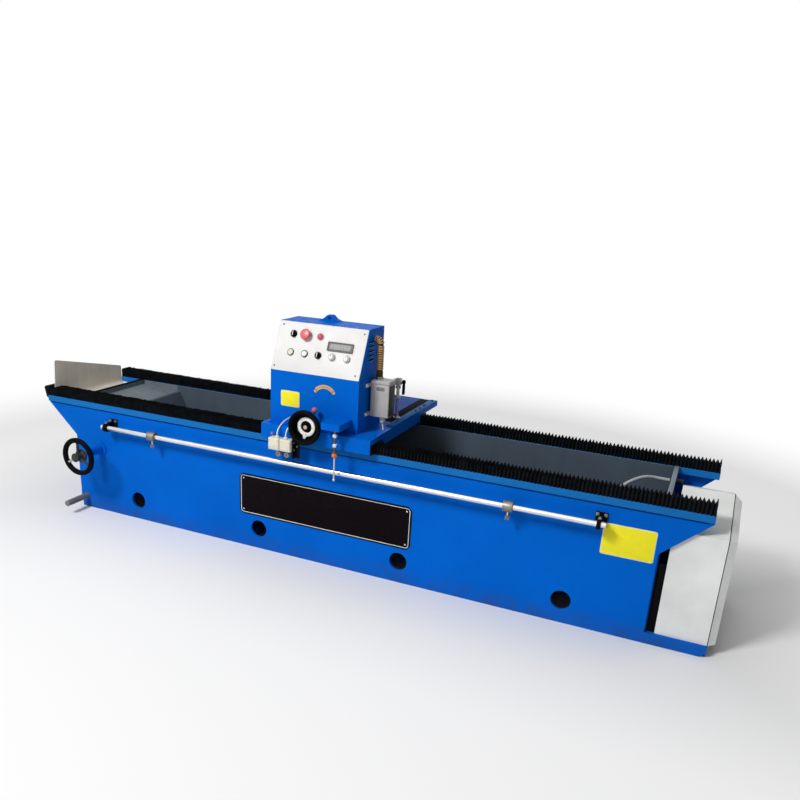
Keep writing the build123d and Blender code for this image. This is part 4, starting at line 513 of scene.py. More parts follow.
class Nodes:
    """Short ways to set up the nodes of one tree, on one set of coordinates."""

    def __init__(self, tree, coordinates):
        self.tree = tree
        self.coordinates = self.node("ShaderNodeTexCoord").outputs[coordinates]

    def node(self, kind, **settings):
        made = self.tree.nodes.new(kind)
        for setting, value in settings.items():
            setattr(made, setting, value)
        return made

    def feed(self, source, target):
        """Links a socket, or sets a plain value."""
        if isinstance(source, bpy.types.NodeSocket):
            self.tree.links.new(source, target)
        elif target.type == "RGBA":
            target.default_value = (*source, 1)
        else:
            target.default_value = source

    def along(self, axis):
        """Place along one axis of the coordinates."""
        parts = self.node("ShaderNodeSeparateXYZ")
        self.feed(self.coordinates, parts.inputs["Vector"])
        return parts.outputs[axis]

    def ranged(self, source, low, high, start=0.3, end=0.7, **settings):
        """A source from start to end, drawn out to low to high."""
        made = self.node("ShaderNodeMapRange", **settings)
        for socket, value in (("From Min", start), ("From Max", end), ("To Min", low), ("To Max", high)):
            self.feed(value, made.inputs[socket])
        self.feed(source, made.inputs["Value"])
        return made.outputs["Result"]

    def math(self, operation, first, second):
        made = self.node("ShaderNodeMath", operation=operation)
        self.feed(first, made.inputs[0])
        self.feed(second, made.inputs[1])
        return made.outputs["Value"]


class Finish(Nodes):
    """One procedural material, built up on the object coordinates of the piece that wears it."""

    def __init__(self, name, sockets):
        material = bpy.data.materials.new(finish_name(name))
        material.use_nodes = True
        super().__init__(material.node_tree, "Object")
        self.shader = self.tree.nodes["Principled BSDF"]
        self.normal = None
        for socket, value in sockets.items():
            self.shader.inputs[socket].default_value = value

    def stretched(self, scale):
        mapping = self.node("ShaderNodeMapping")
        mapping.inputs["Scale"].default_value = scale
        self.feed(self.coordinates, mapping.inputs["Vector"])
        return mapping.outputs["Vector"]

    def noise(self, scale, detail=4.0, stretch=(1, 1, 1)):
        made = self.node("ShaderNodeTexNoise")
        made.inputs["Scale"].default_value = scale
        made.inputs["Detail"].default_value = detail
        self.feed(self.stretched(stretch), made.inputs["Vector"])
        return made.outputs["Fac"]

    def cells(self, scale):
        made = self.node("ShaderNodeTexVoronoi")
        made.inputs["Scale"].default_value = scale
        self.feed(self.coordinates, made.inputs["Vector"])
        return made.outputs["Distance"]

    def stripes(self, scale, direction):
        made = self.node("ShaderNodeTexWave", bands_direction=direction)
        made.inputs["Scale"].default_value = scale
        self.feed(self.coordinates, made.inputs["Vector"])
        return made.outputs["Fac"]

    def attribute(self, name):
        return self.node("ShaderNodeAttribute", attribute_name=name).outputs["Fac"]

    def mixed(self, share, first, second):
        made = self.node("ShaderNodeMix", data_type="RGBA")
        self.feed(share, made.inputs[0])
        self.feed(first, made.inputs[6])
        self.feed(second, made.inputs[7])
        return made.outputs[2]

    def edges(self, radius, strength):
        """A mask along the edges for wear and painted highlights, broken up as rubbing breaks paint."""
        rounded = self.node("ShaderNodeBevel", samples=4)
        rounded.inputs["Radius"].default_value = radius
        geometry = self.node("ShaderNodeNewGeometry")
        dot = self.node("ShaderNodeVectorMath", operation="DOT_PRODUCT")
        self.feed(rounded.outputs["Normal"], dot.inputs[0])
        self.feed(geometry.outputs["Normal"], dot.inputs[1])
        edge = self.ranged(dot.outputs["Value"], 0, strength, 0.995, 0.85)
        return self.math("MULTIPLY", edge, self.ranged(self.noise(55, 6), 0, 1, 0.35, 0.6))

    def colour(self, source):
        self.feed(source, self.shader.inputs["Base Color"])

    def roughness(self, source, low, high):
        self.feed(self.ranged(source, low, high), self.shader.inputs["Roughness"])

    def bump(self, source, strength, distance):
        made = self.node("ShaderNodeBump")
        made.inputs["Strength"].default_value = strength
        made.inputs["Distance"].default_value = distance
        self.feed(source, made.inputs["Height"])
        if self.normal:
            self.feed(self.normal, made.inputs["Normal"])
        self.normal = made.outputs["Normal"]
        self.feed(self.normal, self.shader.inputs["Normal"])


def enamel(name, colour, gloss=0.34, wear=0.35):
    """Sprayed machine enamel: faint clouds, orange peel, edges lighter from wear and a painted highlight, and
    darker towards the floor.
    """
    finish = Finish(name, {"Specular IOR Level": 0.018})
    base = finish.mixed(finish.ranged(finish.noise(2.4, 3), 0, 1), toned(colour, 0.9), toned(colour, 1.08))
    base = finish.mixed(finish.ranged(finish.noise(45, 6), 0, 0.22, 0.55, 0.75), base, toned(colour, 0.72))
    # Lighter along the edges: paint wear and a painted highlight together; wear sets its strength.
    edge_wear_and_highlight = towards(toned(colour, 1.35), (0.5, 0.55, 0.6), 0.08)
    base = finish.mixed(finish.edges(0.003, wear), base, edge_wear_and_highlight)
    # Darker towards the floor, broken up by noise.
    near_floor_darkening = finish.math("MULTIPLY", finish.ranged(finish.along("Z"), 0.45, 0, 0.0, 0.09),
                        finish.ranged(finish.noise(14, 5), 0, 1))
    finish.colour(finish.mixed(near_floor_darkening, base, (0.045, 0.045, 0.045)))
    finish.roughness(finish.noise(30, 5), gloss - 0.06, gloss + 0.12)
    finish.bump(finish.noise(420, 2), 0.06, 0.0006)


def satin_paint(name, colour, gloss=0.5, stain=0.35, shelf=None):
    """Flat paint with water marks, lighter along the edges from wear and a painted highlight, and paler on
    the trough's shelf where a shelf colour is given, as painted light on its lit top.
    """
    finish = Finish(name, {"Specular IOR Level": 0.12})
    clouds = finish.ranged(finish.noise(3.5, 6), 0, 1)
    base = finish.mixed(clouds, toned(colour, 0.86), toned(colour, 1.1))
    # Painted light: the shelf drawn paler where light falls on its top.
    if shelf:
        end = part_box("trough_liner")[0].x + SHELF_LENGTH
        raised = finish.ranged(finish.along("Z"), 0, 1, SHELF_HEIGHT - 0.003, SHELF_HEIGHT)
        leftmost = finish.ranged(finish.along("X"), 1, 0, end, end + 0.004)
        lit_shelf_colour = finish.mixed(clouds, toned(shelf, 0.86), toned(shelf, 1.1))
        base = finish.mixed(finish.math("MULTIPLY", raised, leftmost), base, lit_shelf_colour)
    runs = finish.ranged(finish.noise(9, 6, (2.2, 2.2, 0.35)), 0, stain, 0.52, 0.75)
    base = finish.mixed(runs, base, toned(colour, 0.62))
    # Lighter along the edges: wear and a painted highlight.
    finish.colour(finish.mixed(finish.edges(0.003, 0.5), base, towards(colour, (0.75, 0.78, 0.8), 0.5)))
    finish.roughness(finish.noise(22, 5), gloss - 0.08, gloss + 0.14)
    finish.bump(finish.noise(300, 3), 0.08, 0.0006)


def raw_sheet(name, colour):
    """Rolled bare sheet with soft clouds, faint streaks and a painted highlight along its edges."""
    finish = Finish(name, {"Metallic": 0.1, "Specular IOR Level": 0.1})
    streaks = finish.noise(40, 5, (1, 1, 0.06))
    base = finish.mixed(finish.ranged(streaks, 0, 1), toned(colour, 0.96), toned(colour, 1.04))
    base = finish.mixed(finish.ranged(finish.noise(6, 5), 0, 0.5, 0.42, 0.72), base, toned(colour, 0.76))
    # Painted highlight: the edges drawn towards white.
    finish.colour(finish.mixed(finish.edges(0.004, 0.9), base, towards(colour, (0.9, 0.9, 0.9), 0.7)))
    finish.roughness(streaks, 0.44, 0.6)
    finish.bump(finish.noise(260, 3, (1, 1, 0.1)), 0.05, 0.0004)


def folded_cloth(name, colour):
    """Coated cloth of the folded covers, dusty along the tips of its folds, with a painted sheen there as
    well.
    """
    finish = Finish(name, {"Specular IOR Level": 0.004})
    tip = finish.ranged(finish.attribute("fold"), 0, 1, 0.72, 1.0)
    # Brown along the fold tips: dust and a painted sheen together.
    dust_and_sheen = finish.math("MULTIPLY", tip, finish.ranged(finish.noise(11, 6), 0, 0.7, 0.4, 0.7))
    base = finish.mixed(finish.ranged(finish.noise(30, 4), 0, 1), toned(colour, 0.7), toned(colour, 1.5))
    finish.colour(finish.mixed(dust_and_sheen, base, (0.026, 0.019, 0.012)))
    finish.roughness(finish.noise(50, 4), 0.5, 0.72)
    weave = finish.math("MULTIPLY", finish.stripes(260, "X"), finish.stripes(260, "Y"))
    finish.bump(weave, 0.12, 0.0004)


def machined(name, colour, rough=0.26, stretch=(0.02, 1, 1), wear=0.25):
    """Turned or ground metal with fine tool lines and a few dull patches."""
    finish = Finish(name, {"Metallic": 1.0})
    lines = finish.noise(500, 3, stretch)
    base = finish.mixed(finish.ranged(lines, 0, 1), toned(colour, 0.88), toned(colour, 1.08))
    patches = finish.ranged(finish.noise(18, 6), 0, wear, 0.5, 0.72)
    finish.colour(finish.mixed(patches, base, toned(colour, 0.62)))
    finish.roughness(finish.noise(60, 5, stretch), rough - 0.07, rough + 0.1)
    finish.bump(lines, 0.05, 0.0003)


def cast_metal(name, colour, metallic=0.3, grain=0.25, rough=0.5, shine=0.35):
    """Cast or blasted metal with a fine grain."""
    finish = Finish(name, {"Metallic": metallic, "Specular IOR Level": shine})
    base = finish.mixed(finish.ranged(finish.noise(9, 5), 0, 1), toned(colour, 0.84), toned(colour, 1.12))
    # Lighter along the edges: wear and a painted highlight.
    finish.colour(finish.mixed(finish.edges(0.003, 0.6), base, toned(colour, 1.6)))
    finish.roughness(finish.noise(40, 4), rough - 0.08, rough + 0.12)
    finish.bump(finish.cells(420), grain, 0.0004)


def moulded(name, colour, rough=0.38, shine=0.25, cloud=1.0):
    """Moulded plastic or lacquer: even colour, faint cloud, fine grain."""
    finish = Finish(name, {"Specular IOR Level": shine})
    finish.colour(finish.mixed(finish.ranged(finish.noise(40, 4), 0, 1), toned(colour, 1 - 0.1 * cloud),
                               toned(colour, 1 + 0.07 * cloud)))
    finish.roughness(finish.noise(90, 3), rough - 0.06, rough + 0.1)
    finish.bump(finish.noise(900, 2), 0.05, 0.0003)


def rubbery(name, colour, shine=0.25):
    """Extruded hose or lead: soft sheen and scuffs."""
    finish = Finish(name, {"Specular IOR Level": shine})
    scuffs = finish.ranged(finish.noise(60, 6), 0, 0.5, 0.5, 0.75)
    finish.colour(finish.mixed(scuffs, toned(colour, 1.0), toned(colour, 0.72)))
    finish.roughness(finish.noise(120, 3), 0.42, 0.6)
    finish.bump(finish.noise(500, 2), 0.05, 0.0003)


def abrasive(name, colour):
    """Bonded grit of the cup wheel."""
    finish = Finish(name, {"Specular IOR Level": 0.2})
    grains = finish.cells(650)
    depth = finish.ranged(grains, 0, 1, 0.1, 0.6)
    finish.colour(finish.mixed(depth, toned(colour, 1.25), toned(colour, 0.6)))
    finish.roughness(finish.noise(300, 3), 0.8, 0.95)
    finish.bump(grains, 0.5, 0.0008)


def make_finishes(colours):
    """Every finish of the machine, by name."""
    enamel("bed_enamel", colours.bed_blue)
    # Beam enamel: lighter, greener blue with the sky's sheen painted in, and stronger edge lightening as
    # painted highlights
    enamel("beam_enamel", colours.beam_blue_with_sheen, wear=0.5)
    enamel("motor_enamel", colours.motor_blue, gloss=0.42)
    enamel("motor_dark", toned(colours.motor_blue, 0.45), gloss=0.42, wear=0.1)
    # Painted shadow: dark blue for the lines under the beams
    enamel("joint_blue", toned(colours.bed_blue, 0.4), wear=0.1)
    # Painted highlight: light blue for the louvre lips on the shaded side
    enamel("lip_blue", (0.10, 0.30, 0.52), wear=0.1)
    enamel("frame_black", (0.006, 0.006, 0.007), gloss=0.42)
    enamel("plate_black", (0.0055, 0.0035, 0.0045), gloss=0.3, wear=0.15)
    # The shelf's paler colour is painted light on its lit top
    shelf = tuple(share * channel for share, channel in zip(SHELF_PAINTED_LIGHT, colours.trough_slate))
    satin_paint("trough_paint", colours.trough_slate, shelf=shelf)
    satin_paint("sheet_slate", (0.20, 0.235, 0.265))
    satin_paint("cover_paint", colours.cover_white, gloss=0.42, stain=0.12)
    satin_paint("cap_paint", toned(colours.cover_white, 1.13), gloss=0.42, stain=0.1)
    satin_paint("panel_paint", colours.panel_white, gloss=0.36, stain=0.04)
    raw_sheet("guard_sheet", colours.guard_grey)
    folded_cloth("bellows_cloth", colours.bellows_black)
    machined("bright_steel", (0.74, 0.74, 0.74), 0.24)
    machined("turned_steel", (0.62, 0.61, 0.59), 0.3, (1, 1, 1))
    machined("zinc", (0.27, 0.25, 0.215), 0.5, (1, 1, 1), 0.5)
    machined("dark_steel", (0.11, 0.105, 0.10), 0.42, (1, 1, 1), 0.5)
    cast_metal("table_iron", (0.20, 0.197, 0.19), metallic=0.25, grain=0.25, rough=0.55, shine=0.2)
    machined("gear_bronze", (0.55, 0.36, 0.16), 0.34, (1, 1, 1))
    machined("pink_brass", (0.66, 0.46, 0.38), 0.34, (1, 1, 1))
    cast_metal("junction_cast", colours.box_grey, metallic=0.04, shine=0.07)
    cast_metal("bar_grey", (0.17, 0.17, 0.175), metallic=0.1, grain=0.2, shine=0.1)
    cast_metal("wheel_cast", (0.045, 0.047, 0.046), metallic=0.1, grain=0.2, shine=0.05)
    cast_metal("badge_grey", (0.20, 0.20, 0.20), metallic=0.2, grain=0.05, shine=0.1)
    moulded("switch_ivory", colours.switch_ivory)
    moulded("black_plastic", (0.0045, 0.0045, 0.005), 0.36, 0.018)
    moulded("stop_red", colours.stop_red, 0.3, 0.45)
    moulded("lamp_red", (0.50, 0.06, 0.12), 0.12, 0.5)
    moulded("ball_red", colours.ball_red, 0.26)
    moulded("ball_orange", colours.ball_orange, 0.3)
    moulded("start_green", colours.start_green, 0.3)
    moulded("button_white", (0.80, 0.80, 0.76), 0.3)
    moulded("dial_white", (0.80, 0.80, 0.78), 0.34)
    moulded("display_grey", (0.16, 0.16, 0.165), 0.4)
    moulded("display_window", (0.30, 0.30, 0.295), 0.3, 0.03)
    moulded("digit_grey", (0.54, 0.54, 0.53), 0.3, 0.03)
    moulded("plate_yellow", colours.plate_yellow, 0.36, 0.1, 0.25)
    moulded("plate_edge", (0.70, 0.70, 0.64), 0.4)
    moulded("mark_amber", colours.mark_amber, 0.4)
    moulded("mark_core", toned(colours.mark_amber, 0.7), 0.4)
    moulded("conduit_tan", colours.conduit_tan, 0.46, 0.1)
    # Painted shade: near-black brown in the conduit's grooves and at its foot
    moulded("conduit_groove", toned(colours.conduit_tan, 0.16), 0.6, 0.02)
    moulded("pipe_cream", (0.76, 0.72, 0.65), 0.36)
    moulded("ring_grey", (0.42, 0.42, 0.43), 0.4)
    moulded("knob_pale", (0.78, 0.775, 0.765), 0.4, 0.08)
    moulded("pipe_violet", colours.pipe_violet, 0.36)
    rubbery("hose_grey", colours.hose_grey)
    rubbery("lead_white", (0.78, 0.80, 0.80))
    rubbery("seal_black", (0.006, 0.006, 0.0065), 0.004)
    abrasive("grit", (0.30, 0.23, 0.20))


# The finishes of the machine's own parts
NODE_FINISHES = {
    "bed_enamel": ("side_plates", "base_frame", "bulkheads", "saddle", "control_box", "lever_housing",
                   "bearing_housings", "column", "head_slide"),
    "beam_enamel": ("rail_beams",),
    "motor_enamel": ("motor", "gearmotor", "wheel_guard"),
    "trough_paint": ("trough_liner", "coolant_unit"),
    "guard_sheet": ("splash_guard",),
    "cover_paint": ("end_cover",),
    "cap_paint": ("end_cover_cap",),
    "bright_steel": ("trip_rod", "guide_rails"),
    "turned_steel": ("worm_shaft", "feed_shaft", "feed_screw", "spindle", "pinion", "runner_blocks"),
    "dark_steel": ("gear_rack",),
    "bar_grey": ("lifting_bar",),
    "frame_black": ("rod_brackets",),
    "wheel_cast": ("hose_fittings",),
    "table_iron": ("knife_table",),
    "gear_bronze": ("worm_wheel",),
    "grit": ("cup_wheel",),
}


# Operators, one for each piece or group of like pieces

class GrinderOperator:
    """What the operators share."""

    bl_options = {"REGISTER", "UNDO"}


class StageOperator(GrinderOperator, bpy.types.Operator):
    """Sets the camera, the lamps, the room's light and the pale floor"""

    bl_idname = "grinder.stage"
    bl_label = "Stage"

    CAMERA_PLACE = (1.56009, -3.32882, 1.65851)
    CAMERA_HEADING = 23.506
    CAMERA_PITCH = 19.871
    CAMERA_ROLL = 2.7316
    CAMERA_SHIFT = (0.03426, 0.10128)
    # Name, place, what it shines at and size
    LAMPS = (
        ("key", (-1.7, -4.4, 4.7), (0, 0, 0.45), 1.4),
        ("fill", (5.0, -2.2, 2.6), (0.6, 0, 0.4), 3.0),
        ("top", (0.4, 2.4, 4.6), (0, 0, 0.5), 3.4),
    )
    # The room's light on the left and on the right
    LEFT_SHARE = 1.35
    RIGHT_SHARE = 0.46
    # Where the floor turns white, from the middle and from the bed, and how white it is near the bed
    FLOOR_SIZE = 60.0
    FLOOR_FADE = (2.0, 4.2)
    FLOOR_NEAR = (0.36, 1.1)
    FLOOR_END = 1.45
    FLOOR_WHITE = 0.45

    def execute(self, context):
        stage = context.scene.grinder_stage
        context.scene.view_settings.view_transform = "Standard"
        self.camera(context, stage)
        for name, place, aim, size in self.LAMPS:
            self.lamp(context, name + "_lamp", place, aim, size, getattr(stage, name + "_power"))
        self.room(context, stage)
        self.floor(stage)
        return {"FINISHED"}

    def camera(self, context, stage):
        data = bpy.data.cameras.new("camera")
        data.lens = stage.focal_length
        data.sensor_width = 36
        data.shift_x, data.shift_y = self.CAMERA_SHIFT
        camera = bpy.data.objects.new("camera", data)
        pitch = Matrix.Rotation(math.radians(90 - self.CAMERA_PITCH), 4, "X")
        turn = spun(self.CAMERA_HEADING) @ pitch @ spun(self.CAMERA_ROLL)
        camera.matrix_world = at(*self.CAMERA_PLACE) @ turn
        context.scene.collection.objects.link(camera)
        context.scene.camera = camera

    def lamp(self, context, name, place, aim, size, power):
        data = bpy.data.lights.new(name, "AREA")
        data.size = size
        data.energy = power
        lamp = bpy.data.objects.new(name, data)
        lamp.location = place
        lamp.rotation_euler = (Vector(aim) - Vector(place)).to_track_quat("-Z", "Y").to_euler()
        context.scene.collection.objects.link(lamp)

    def seen_directly(self, nodes):
        """One for rays that show the backdrop itself, zero for rays that carry its light."""
        path = nodes.node("ShaderNodeLightPath").outputs
        seen = nodes.math("MAXIMUM", path["Is Camera Ray"], path["Is Glossy Ray"])
        return nodes.math("MAXIMUM", seen, path["Is Transmission Ray"])

    def room(self, context, stage):
        world = bpy.data.worlds.new("room")
        world.use_nodes = True
        nodes = Nodes(world.node_tree, "Generated")
        light = nodes.tree.nodes["Background"]
        nodes.feed((1, 1, 1), light.inputs["Color"])
        left = stage.ambient * self.LEFT_SHARE
        right = stage.ambient * self.RIGHT_SHARE
        side = nodes.ranged(nodes.along("X"), left, right, -1, 1)
        nodes.feed(nodes.ranged(self.seen_directly(nodes), side, 1, 0, 1), light.inputs["Strength"])
        context.scene.world = world

    def floor(self, stage):
        shape = bmesh.new()
        bmesh.ops.create_grid(shape, x_segments=1, y_segments=1, size=self.FLOOR_SIZE / 2)
        floor = helper_object("floor", shape)
        floor.data.materials.append(self.floor_finish(stage))

    def floor_finish(self, stage):
        """Pale floor that keeps the shadow and fades into the white room further out."""
        material = bpy.data.materials.new("studio_floor")
        material.use_nodes = True
        nodes = Nodes(material.node_tree, "Object")
        shader = nodes.tree.nodes["Principled BSDF"]
        nodes.feed(stage.floor_colour, shader.inputs["Base Color"])
        nodes.feed(0.9, shader.inputs["Roughness"])
        nodes.feed(0.0, shader.inputs["Specular IOR Level"])
        length = nodes.node("ShaderNodeVectorMath", operation="LENGTH")
        nodes.feed(nodes.coordinates, length.inputs[0])
        fade = nodes.ranged(length.outputs["Value"], 0, 1, *self.FLOOR_FADE, interpolation_type="SMOOTHSTEP")
        beside = nodes.math("ABSOLUTE", nodes.along("Y"), 0)
        past_end = nodes.math("SUBTRACT", nodes.math("ABSOLUTE", nodes.along("X"), 0), self.FLOOR_END)
        near = nodes.ranged(nodes.math("MAXIMUM", beside, past_end), 0, self.FLOOR_WHITE, *self.FLOOR_NEAR)
        share = nodes.math("MULTIPLY", nodes.math("MAXIMUM", fade, near), self.seen_directly(nodes))
        mix = nodes.node("ShaderNodeMixShader")
        nodes.feed(share, mix.inputs["Fac"])
        nodes.feed(shader.outputs["BSDF"], mix.inputs[1])
        nodes.feed(nodes.node("ShaderNodeEmission").outputs["Emission"], mix.inputs[2])
        nodes.feed(mix.outputs["Shader"], nodes.tree.nodes["Material Output"].inputs["Surface"])
        return material


class FinishesOperator(GrinderOperator, bpy.types.Operator):
    """Makes the finishes and puts them on the machine's own parts"""

    bl_idname = "grinder.finishes"
    bl_label = "Finishes"

    def execute(self, context):
        make_finishes(context.scene.grinder_colours)
        for finish, nodes in NODE_FINISHES.items():
            for node in nodes:
                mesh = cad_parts[node].data
                mesh.materials.clear()
                mesh.materials.append(bpy.data.materials[finish_name(finish)])
        return {"FINISHED"}


class HoseOperator(GrinderOperator, bpy.types.Operator):
    """Lays the coolant hose from the end wall to the trough floor"""

    bl_idname = "grinder.hose"
    bl_label = "Coolant hose"

    RADIUS = 0.007
    LENGTH = 0.433

    def execute(self, context):
        hose = curve_line("coolant_hose_line", HOSE_ROUTE, self.RADIUS)
        hose.data.materials.append(bpy.data.materials[finish_name("hose_grey")])
        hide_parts("coolant_hose")
        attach(hose, "root")
        return {"FINISHED"}


class BellowsOperator(GrinderOperator, bpy.types.Operator):
    """Folds the black covers over both guide rails and sets their end frames"""

    bl_idname = "grinder.bellows"
    bl_label = "Bellows"

    HALF_WIDTH = 0.040
    SHOULDER = 0.007
    FRAME_THICKNESS = 0.003
    FRAME_WIDTH = 0.010
    OVERHANG = 0.028
    HANG = 0.016
    SEED = 7
    # How unevenly the folds follow each other, and how much of that the next fold makes good
    DRIFT = 0.25
    PULL_BACK = 0.5

    def execute(self, context):
        sizes = context.scene.grinder_sizes
        uneven = random.Random(self.SEED)
        for name, fixed_at_left in (("left_bellows", True), ("right_bellows", False)):
            low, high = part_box(name)
            cover = Piece(name + "_cover")
            for side in (-1, 1):
                middle = side * (high.y - self.HALF_WIDTH)
                cover.add(self.strip(low, high, middle, sizes, uneven), HERE, "bellows_cloth")
            made = cover.done(None, "bellows_cloth", name, smooth=20)
            fixed, moving = (low.x, high.x) if fixed_at_left else (high.x, low.x)
            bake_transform(made)
            inwards = 1 if fixed_at_left else -1
            self.end_frames(name + "_bed_frame", "root", fixed, inwards, low, high)
            self.end_frames(name + "_carriage_frame", "carriage", moving, -inwards, low, high)
        self.end_cap()
        return {"FINISHED"}

    def end_cap(self):
        """Cloth end of the front left cover, which hangs over the end of the beam."""
        low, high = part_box("left_bellows")
        cap = Piece("left_bellows_end_cap")
        height = high.z - low.z + self.HANG - 0.001
        shape = block((self.OVERHANG, 2 * self.HALF_WIDTH - 0.002, height), 0.010, 4)
        outer = [vert for vert in shape.verts if vert.co.x < 0 and vert.co.z < 0]
        bmesh.ops.translate(shape, vec=(0.010, 0, 0), verts=outer)
        middle = (low.x - 0.0045 - self.OVERHANG / 2, low.y + self.HALF_WIDTH, high.z - height / 2)
        cap.add(shape, at(*middle), "bellows_cloth")
        cap.done("root", "bellows_cloth")

    def section(self, height):
        """Half of the cover's outline and its mirror image, from foot to foot."""
        half = self.HALF_WIDTH
        outer = [(half, 0), (half, height - self.SHOULDER), (half - self.SHOULDER, height)]
        return outer + [(-y, z) for y, z in reversed(outer)]

    def strip(self, low, high, middle, sizes, uneven):
        """One folded cover along the bed."""
        shape = bmesh.new()
        fold = shape.verts.layers.float.new("fold")
        count = 2 * round((high.x - low.x) / sizes.fold_pitch)
        step = (high.x - low.x) / count
        outline = self.section(high.z - low.z)
        ridge = [shape.verts.new((low.x, middle + y, low.z + z)) for y, z in outline]
        edges = [shape.edges.new(pair) for pair in zip(ridge, ridge[1:])]
        for vert in ridge:
            vert[fold] = 1
        size_before = 1.0
        for k in range(1, count + 1):
            in_valley = k % 2 == 1
            spare = sizes.fold_unevenness * uneven.random()
            drawn_in = sizes.fold_depth + spare if in_valley else spare
            size = 1 - drawn_in / self.HALF_WIDTH
            verts, edges = extruded(bmesh.ops.extrude_edge_only(shape, edges=edges))
            bmesh.ops.scale(shape, vec=(1, size / size_before, size / size_before), verts=verts,
                            space=at(0, -middle, -low.z))
            here = verts[0].co.x
            if k < count:
                drift = step * (1 + self.DRIFT * (uneven.random() - 0.5))
                move = drift + (low.x + (k - 1) * step - here) * self.PULL_BACK
            else:
                move = low.x + k * step - here
            bmesh.ops.translate(shape, vec=(move, 0, 0), verts=verts)
            for vert in verts:
                vert[fold] = 0 if in_valley else 1
            size_before = size
        bmesh.ops.recalc_face_normals(shape, faces=shape.faces)
        upward = sum(face.normal.z * face.calc_area() for face in shape.faces)
        if upward < 0:
            bmesh.ops.reverse_faces(shape, faces=shape.faces)
        bmesh.ops.solidify(shape, geom=list(shape.faces), thickness=sizes.cloth_wall)
        return shape

    def end_frames(self, name, body, x, inwards, low, high):
        """Flat frames that hold one end of the covers."""
        frames = Piece(name)
        height = high.z - low.z
        inner = self.HALF_WIDTH - self.FRAME_WIDTH
        top = height - self.FRAME_WIDTH
        outline = self.section(height) + [(-inner, 0), (-inner, top), (inner, top), (inner, 0)]
        for side in (-1, 1):
            place = facing((x, side * (high.y - self.HALF_WIDTH), low.z), (inwards, 0, 0))
            plate = flat_plate(outline, self.FRAME_THICKNESS, edge=0.0005)
            frames.add(plate, place, "frame_black")
        frames.done(body, "plate_black")


class PanelOperator(GrinderOperator, bpy.types.Operator):
    """Fits the white panel with its screws and bezels, the display and the lamp"""

    bl_idname = "grinder.panel"
    bl_label = "Control panel"

    SIZE = (0.446, 0.2300)
    MIDDLE = (-0.0667, 0.11610)
    CORNER = 0.004
    HOLES = ((BUTTON_PLACES, 0.0113), (SELECTOR_PLACES, 0.0065), (KNOB_PLACES, 0.0045), (STOP_PLACES, 0.0083))
    # Rings round the controls: inner and outer radius, lower and upper height, rounding and finish
    BEZELS = (
        # The push buttons' black ring, wider than the pale ring on it, is painted shade on the bezel's side
        (BUTTON_PLACES, 0.0113, 0.0166, 0, 0.0044, 0.0008, "black_plastic"),
        (BUTTON_PLACES, 0.0113, 0.0136, 0.0040, 0.0066, 0.0006, "plate_edge"),
        (SELECTOR_PLACES, 0.0148, 0.0168, 0, 0.0030, 0.0008, "black_plastic"),
        (KNOB_PLACES, 0.0158, 0.0184, 0, 0.0008, 0.0003, "ring_grey"),
        (STOP_PLACES, 0.0086, 0.0140, 0, 0.0050, 0.0010, "black_plastic"),
    )
    DISPLAY = (0.126, 0.042)
    DISPLAY_HEIGHT = 0.006
    WINDOW = (0.108, 0.026)
    WINDOW_HEIGHT = PANEL_THICKNESS + DISPLAY_HEIGHT * 0.35
    DIGITS = 6

    def execute(self, context):
        self.face(context.scene.grinder_sizes.screw_head)
        self.indicators()
        return {"FINISHED"}

    def face(self, screw_head):
        panel = Piece("panel_face")
        plate = flat_plate(rectangle(*self.SIZE), PANEL_THICKNESS, self.CORNER, 0.0005)
        holes = []
        for places, radius in self.HOLES:
            for x, rise in places.values():
                offset = at(x - self.MIDDLE[0], rise - self.MIDDLE[1], -PANEL_THICKNESS)
                holes.append((radius, 3 * PANEL_THICKNESS, offset))
        panel.add(drilled(plate, holes), on_panel(self.MIDDLE, 0), "panel_paint")
        for place in PANEL_SCREWS:
            panel.add(socket_screw(screw_head, 0.0022), on_panel(place), "dark_steel")
        for places, *sizes, finish in self.BEZELS:
            for place in places.values():
                panel.add(ring(*sizes), on_panel(place), finish)
        panel.done("carriage", "panel_white", "control_panel")

    def indicators(self):
        piece = Piece("panel_display")
        bezel = frame_line(*self.DISPLAY, 0.006, self.DISPLAY_HEIGHT, 0.003)
        piece.add(bezel, on_panel(DISPLAY_PLACE), "display_grey")
        window = flat_plate(rectangle(*self.WINDOW), 0.0012, 0.001)
        piece.add(window, on_panel(DISPLAY_PLACE, self.WINDOW_HEIGHT), "display_window")
        pitch = self.WINDOW[0] / (self.DIGITS + 0.6)
        for k in range(self.DIGITS):
            self.digit(piece, DISPLAY_PLACE[0] + (k - (self.DIGITS - 1) / 2) * pitch)
        piece.add(ring(0.0138, 0.0165, 0, 0.0048, 0.0010), on_panel(LAMP_PLACE), "ring_grey")
        piece.add(dome(0.0140, 0.0150, 0.0050), on_panel(LAMP_PLACE), "lamp_red")
        piece.done("carriage", "display_black", "panel_indicators")

    def digit(self, piece, x):
        """The bars of one unlit figure."""
        bars = [(0, rise, 0.0078, 0.0021) for rise in (-0.0082, 0, 0.0082)]
        bars += [(aside, rise, 0.0021, 0.0066) for aside, rise in corners(0.0044, 0.0041)]
        for aside, rise, width, height in bars:
            place = on_panel((x + aside, DISPLAY_PLACE[1] + rise), self.WINDOW_HEIGHT + 0.0013)
            piece.add(block((width, height, 0.0004), 0.0001, 1), place, "digit_grey")


